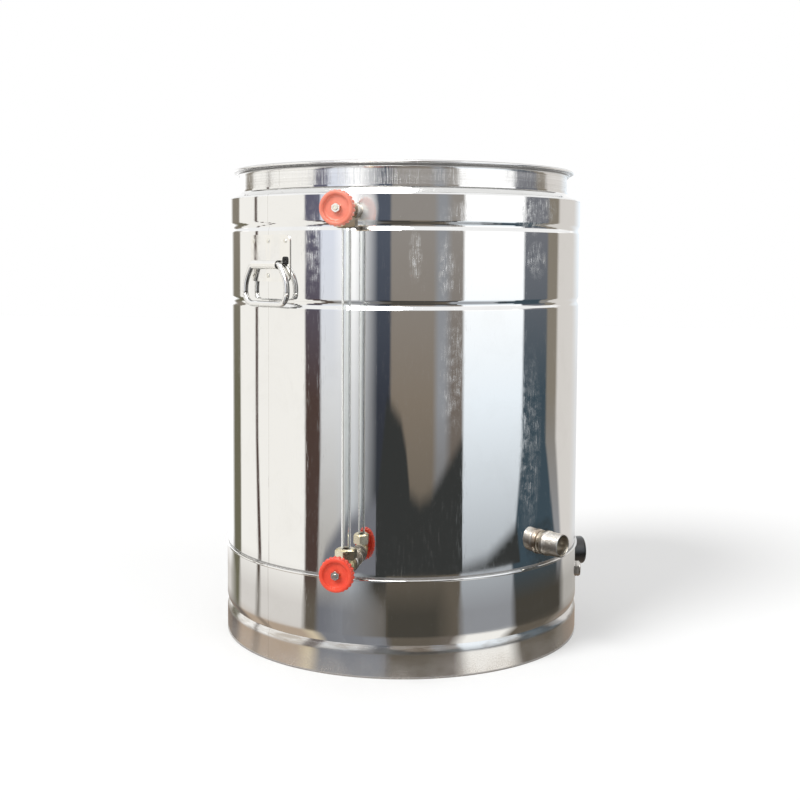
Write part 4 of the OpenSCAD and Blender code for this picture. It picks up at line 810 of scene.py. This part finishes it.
# right edge in degrees high up and at the floor, softness,
# then tones: high, middle, low, floor far, floor near
cards = [
    (-158, -158, 9.0, "pearl", "chalk", "linen", "linen", "clay"),
    (-124, -124, 3.0, "white", "white", "white", "chalk", "umber"),
    (-110, -110, 1.0, "beige", "olive", "olive", "olive", "umber"),
    (-91, -89, 0.8, "cream", "cream", "cream", "chalk", "clay"),
    (-88.5, -86, 0.6, "bark", "bark", "bark", "soil", "soil"),
    (-52.4, -52.6, 0.6, "cream", "cream", "cream", "chalk", "clay"),
    (-43.2, -44.6, 0.6, "plum", "bark", "bark", "soil", "sand"),
    (-32, -30, 4.0, "mist", "pearl", "linen", "ash", "ash"),
    (-18.5, -19.5, 6.0, "white", "pearl", "pewter", "haze", "haze"),
    (-6.0, -7.7, 0.6, "dusk", "night", "coal", "soil", "ash"),
    (16.7, 15, 1.5, "stone", "taupe", "soil", "loam", "soil"),
    (23.3, 22, 2.0, "haze", "haze", "soil", "loam", "soil"),
    (31.2, 30.5, 0.8, "stone", "umber", "soil", "soil", "umber"),
    (68.2, 62, 0.8, "white", "snow", "pewter", "haze", "cream"),
    (88, 101, 1.0, "ash", "slate", "slate", "loam", "soil"),
    (99, 108, 1.5, "beige", "beige", "haze", "loam", "beige"),
    (130, 130, 8.0, "chalk", "chalk", "chalk", "linen", "umber"),
    (152, 152, 6.0, "snow", "pearl", "pearl", "linen", "clay"),
    (180, 180, 1.0, "pearl", "chalk", "linen", "linen", "clay"),
]
cardRing = {"radius": 0.75, "top": 0.74, "high": 0.60, "middle": 0.30, "fadeFrom": 0.70,
            "columns": 1440, "rows": 74}
cardGround = {"inside": 0.262, "lift": 0.0012, "nearTo": 0.15, "nearFade": 0.2, "farFrom": 0.55,
              "columns": 1440, "rows": 20}
# dark cloth along the foot of the cards: degrees and its height there
darkCloth = [
    (-43, 0.0), (-40, 0.040), (-31, 0.092), (-17, 0.12), (-12, 0.14), (-7.7, 0.31), (-0.6, 0.272),
    (2.0, 0.224), (4.2, 0.145), (9.0, 0.13), (14.4, 0.14), (22.0, 0.185), (31.0, 0.235), (31.6, 0.01),
    (45.0, 0.02), (55.0, 0.045), (65.0, 0.07), (68.0, 0.0),
]
clothLook = {"soft": 0.03, "paleUpTo": -13, "pale": "ash", "dark": "coal"}


def blendTone(a, b, share):
    return tuple(p + (q - p) * share for p, q in zip(a, b))


def clothTop(angle):
    for (a, low), (b, high) in zip(darkCloth, darkCloth[1:]):
        if a <= angle <= b:
            return low + (high - low) * (angle - a) / (b - a)
    return 0.0


def cardTone(angle, level):
    # level 0 high up, 1 at the middle, 2 at the floor line, 3 far out on the floor, 4 near the tank
    step = min(int(level), 3)
    share = level - step
    lean = min(1.0, max(0.0, (level - 1.3) / 0.7))

    def pick(i):
        return blendTone(cardTones[cards[i][3 + step]], cardTones[cards[i][4 + step]], share)

    edges = [c[0] + (c[1] - c[0]) * lean for c in cards]
    blur = 1 + 3 * max(0.0, level - 2.4)
    i = 0
    while angle > edges[i] and i < len(cards) - 1:
        i += 1
    tone = pick(i)
    soft = cards[i][2] * blur
    if i + 1 < len(cards) and edges[i] - angle < soft:
        tone = blendTone(tone, pick(i + 1), 0.5 - 0.5 * (edges[i] - angle) / soft)
    soft = cards[i - 1][2] * blur
    if i > 0 and angle - edges[i - 1] < soft:
        tone = blendTone(tone, pick(i - 1), 0.5 - 0.5 * (angle - edges[i - 1]) / soft)
    return tone


def cardFinish(name):
    # shows only to rays that have met the steel first
    mat, tree, shader = newFinish(name)
    tree.nodes.remove(shader)
    paint = addNode(tree, "Attribute", attribute_name="tone")
    glow = addNode(tree, "Emission", {"Color": paint.outputs["Color"], "Strength": 1.0})
    clear = addNode(tree, "BsdfTransparent")
    bounced = doMath(tree, "GREATER_THAN", addNode(tree, "LightPath").outputs["Glossy Depth"], 0.5)
    pick = addNode(tree, "MixShader", {0: bounced, 1: clear.outputs[0], 2: glow.outputs[0]})
    tree.links.new(pick.outputs[0], tree.nodes["Material Output"].inputs["Surface"])
    mat.cycles.emission_sampling = "NONE"
    return mat


def paintedCard(name, points, faces, tones):
    mesh = bpy.data.meshes.new(name)
    mesh.from_pydata(points, [], faces)
    layer = mesh.attributes.new("tone", "FLOAT_COLOR", "POINT")
    for i, tone in enumerate(tones):
        layer.data[i].color = (*tone, 1)
    card = bpy.data.objects.new(name, mesh)
    scene.collection.objects.link(card)
    mesh.materials.append(cardFinish(name))
    for flag in ("camera", "diffuse", "volume_scatter", "shadow"):
        setattr(card, "visible_" + flag, False)
    card.rotation_euler.z = math.radians(viewPoint["side"])
    return card


def makeRing(r):
    points, tones, faces = [], [], []
    columns, rows = r["columns"], r["rows"]
    for row in range(rows + 1):
        z = r["top"] * row / rows
        if z > r["middle"]:
            level = max(0.0, 1 - (z - r["middle"]) / (r["high"] - r["middle"]))
        else:
            level = 2 - z / r["middle"]
        fade = min(1.0, max(0.0, (z - r["fadeFrom"]) / (r["top"] - r["fadeFrom"])))
        for c in range(columns):
            angle = -180 + 360 * c / columns
            a = math.radians(angle)
            points.append((r["radius"] * math.sin(a), -r["radius"] * math.cos(a), z))
            tone = cardTone(angle, level)
            height = clothTop(angle)
            if height:
                cloth = min(1.0, max(0.0, (height - z) / clothLook["soft"] + 0.5))
                side = "pale" if angle < clothLook["paleUpTo"] else "dark"
                tone = blendTone(tone, cardTones[clothLook[side]], cloth)
            tones.append(blendTone(tone, cardTones["white"], fade))
    for row in range(rows):
        for c in range(columns):
            a, b = row * columns + c, row * columns + (c + 1) % columns
            faces.append((a, b, b + columns, a + columns))
    return paintedCard("cardRing", points, faces, tones)


def makeGround(r, g):
    # streaks that run on from the cards to the foot of the tank
    points, tones, faces = [], [], []
    columns, rows, inside = g["columns"], g["rows"], g["inside"]
    for c in range(columns):
        foot = math.radians(-180 + 360 * c / columns)
        way = math.radians(max(-180, min(180, 2 * math.degrees(foot))))
        px, py = inside * math.sin(foot), -inside * math.cos(foot)
        dx, dy = math.sin(way), -math.cos(way)
        along = px * dx + py * dy
        reach = -along + math.sqrt(along * along + r["radius"] ** 2 - inside * inside)
        angle = math.degrees(math.atan2(px + reach * dx, -(py + reach * dy)))
        for row in range(rows + 1):
            t = row / rows
            points.append((px + reach * t * dx, py + reach * t * dy, g["lift"]))
            level = 4 - min(1.0, max(0.0, (t - g["nearTo"]) / g["nearFade"]))
            if t > g["farFrom"]:
                level = 3 - (t - g["farFrom"]) / (1 - g["farFrom"])
            tones.append(cardTone(angle, level))
    for c in range(columns):
        for row in range(rows):
            a, b = c * (rows + 1) + row, ((c + 1) % columns) * (rows + 1) + row
            faces.append((a, b, b + 1, a + 1))
    return paintedCard("cardGround", points, faces, tones)


# one bright card overhead for the shine on valves, knob and nipple
overCard = {"spot": (-0.35, -1.15, 1.55), "aim": (0, -0.28, 0.4), "half": 0.45, "tone": (7.0, 7.0, 6.9)}


def makeOverCard(o):
    spot = Vector(o["spot"])
    aim = (Vector(o["aim"]) - spot).normalized()
    side = aim.cross(Vector((0, 0, 1))).normalized() * o["half"]
    rise = side.cross(aim).normalized() * o["half"]
    points = [tuple(spot + side * i + rise * k) for i, k in ((-1, -1), (1, -1), (1, 1), (-1, 1))]
    return paintedCard("overCard", points, [(0, 1, 2, 3)], [o["tone"]] * 4)


makeRing(cardRing)
makeGround(cardRing, cardGround)
makeOverCard(overCard)
print("floor and cards made")

# soft studio light, far off so that the floor is lit evenly: strength, spread in degrees, place
lights = {
    "keyLamp": (2.2, 24, (-1.4, -2.0, 2.4)),
    "fillLamp": (0.6, 60, (2.2, -1.4, 1.6)),
    "topLamp": (0.6, 70, (0, 0.2, 2.8)),
}
worldLight = 0.42


def softLamp(name, strength, spread, spot):
    data = bpy.data.lights.new(name, "SUN")
    data.energy = strength
    data.angle = math.radians(spread)
    lamp = bpy.data.objects.new(name, data)
    scene.collection.objects.link(lamp)
    lamp.location = spot
    lamp.rotation_euler = (-Vector(spot)).to_track_quat("-Z", "Y").to_euler()
    lamp.visible_glossy = False
    lamp.visible_transmission = False
    return lamp


def setWorld(strength):
    world = bpy.data.worlds.new("studio")
    scene.world = world
    world.use_nodes = True
    tree = world.node_tree
    backdrop = tree.nodes["Background"]
    backdrop.inputs["Color"].default_value = (1, 1, 1, 1)
    tree.links.new(mapRange(tree, seenShare(tree), 0, 1, strength, 1.0), backdrop.inputs["Strength"])


for lampName, lampPlan in lights.items():
    softLamp(lampName, *lampPlan)
setWorld(worldLight)
print("light set")
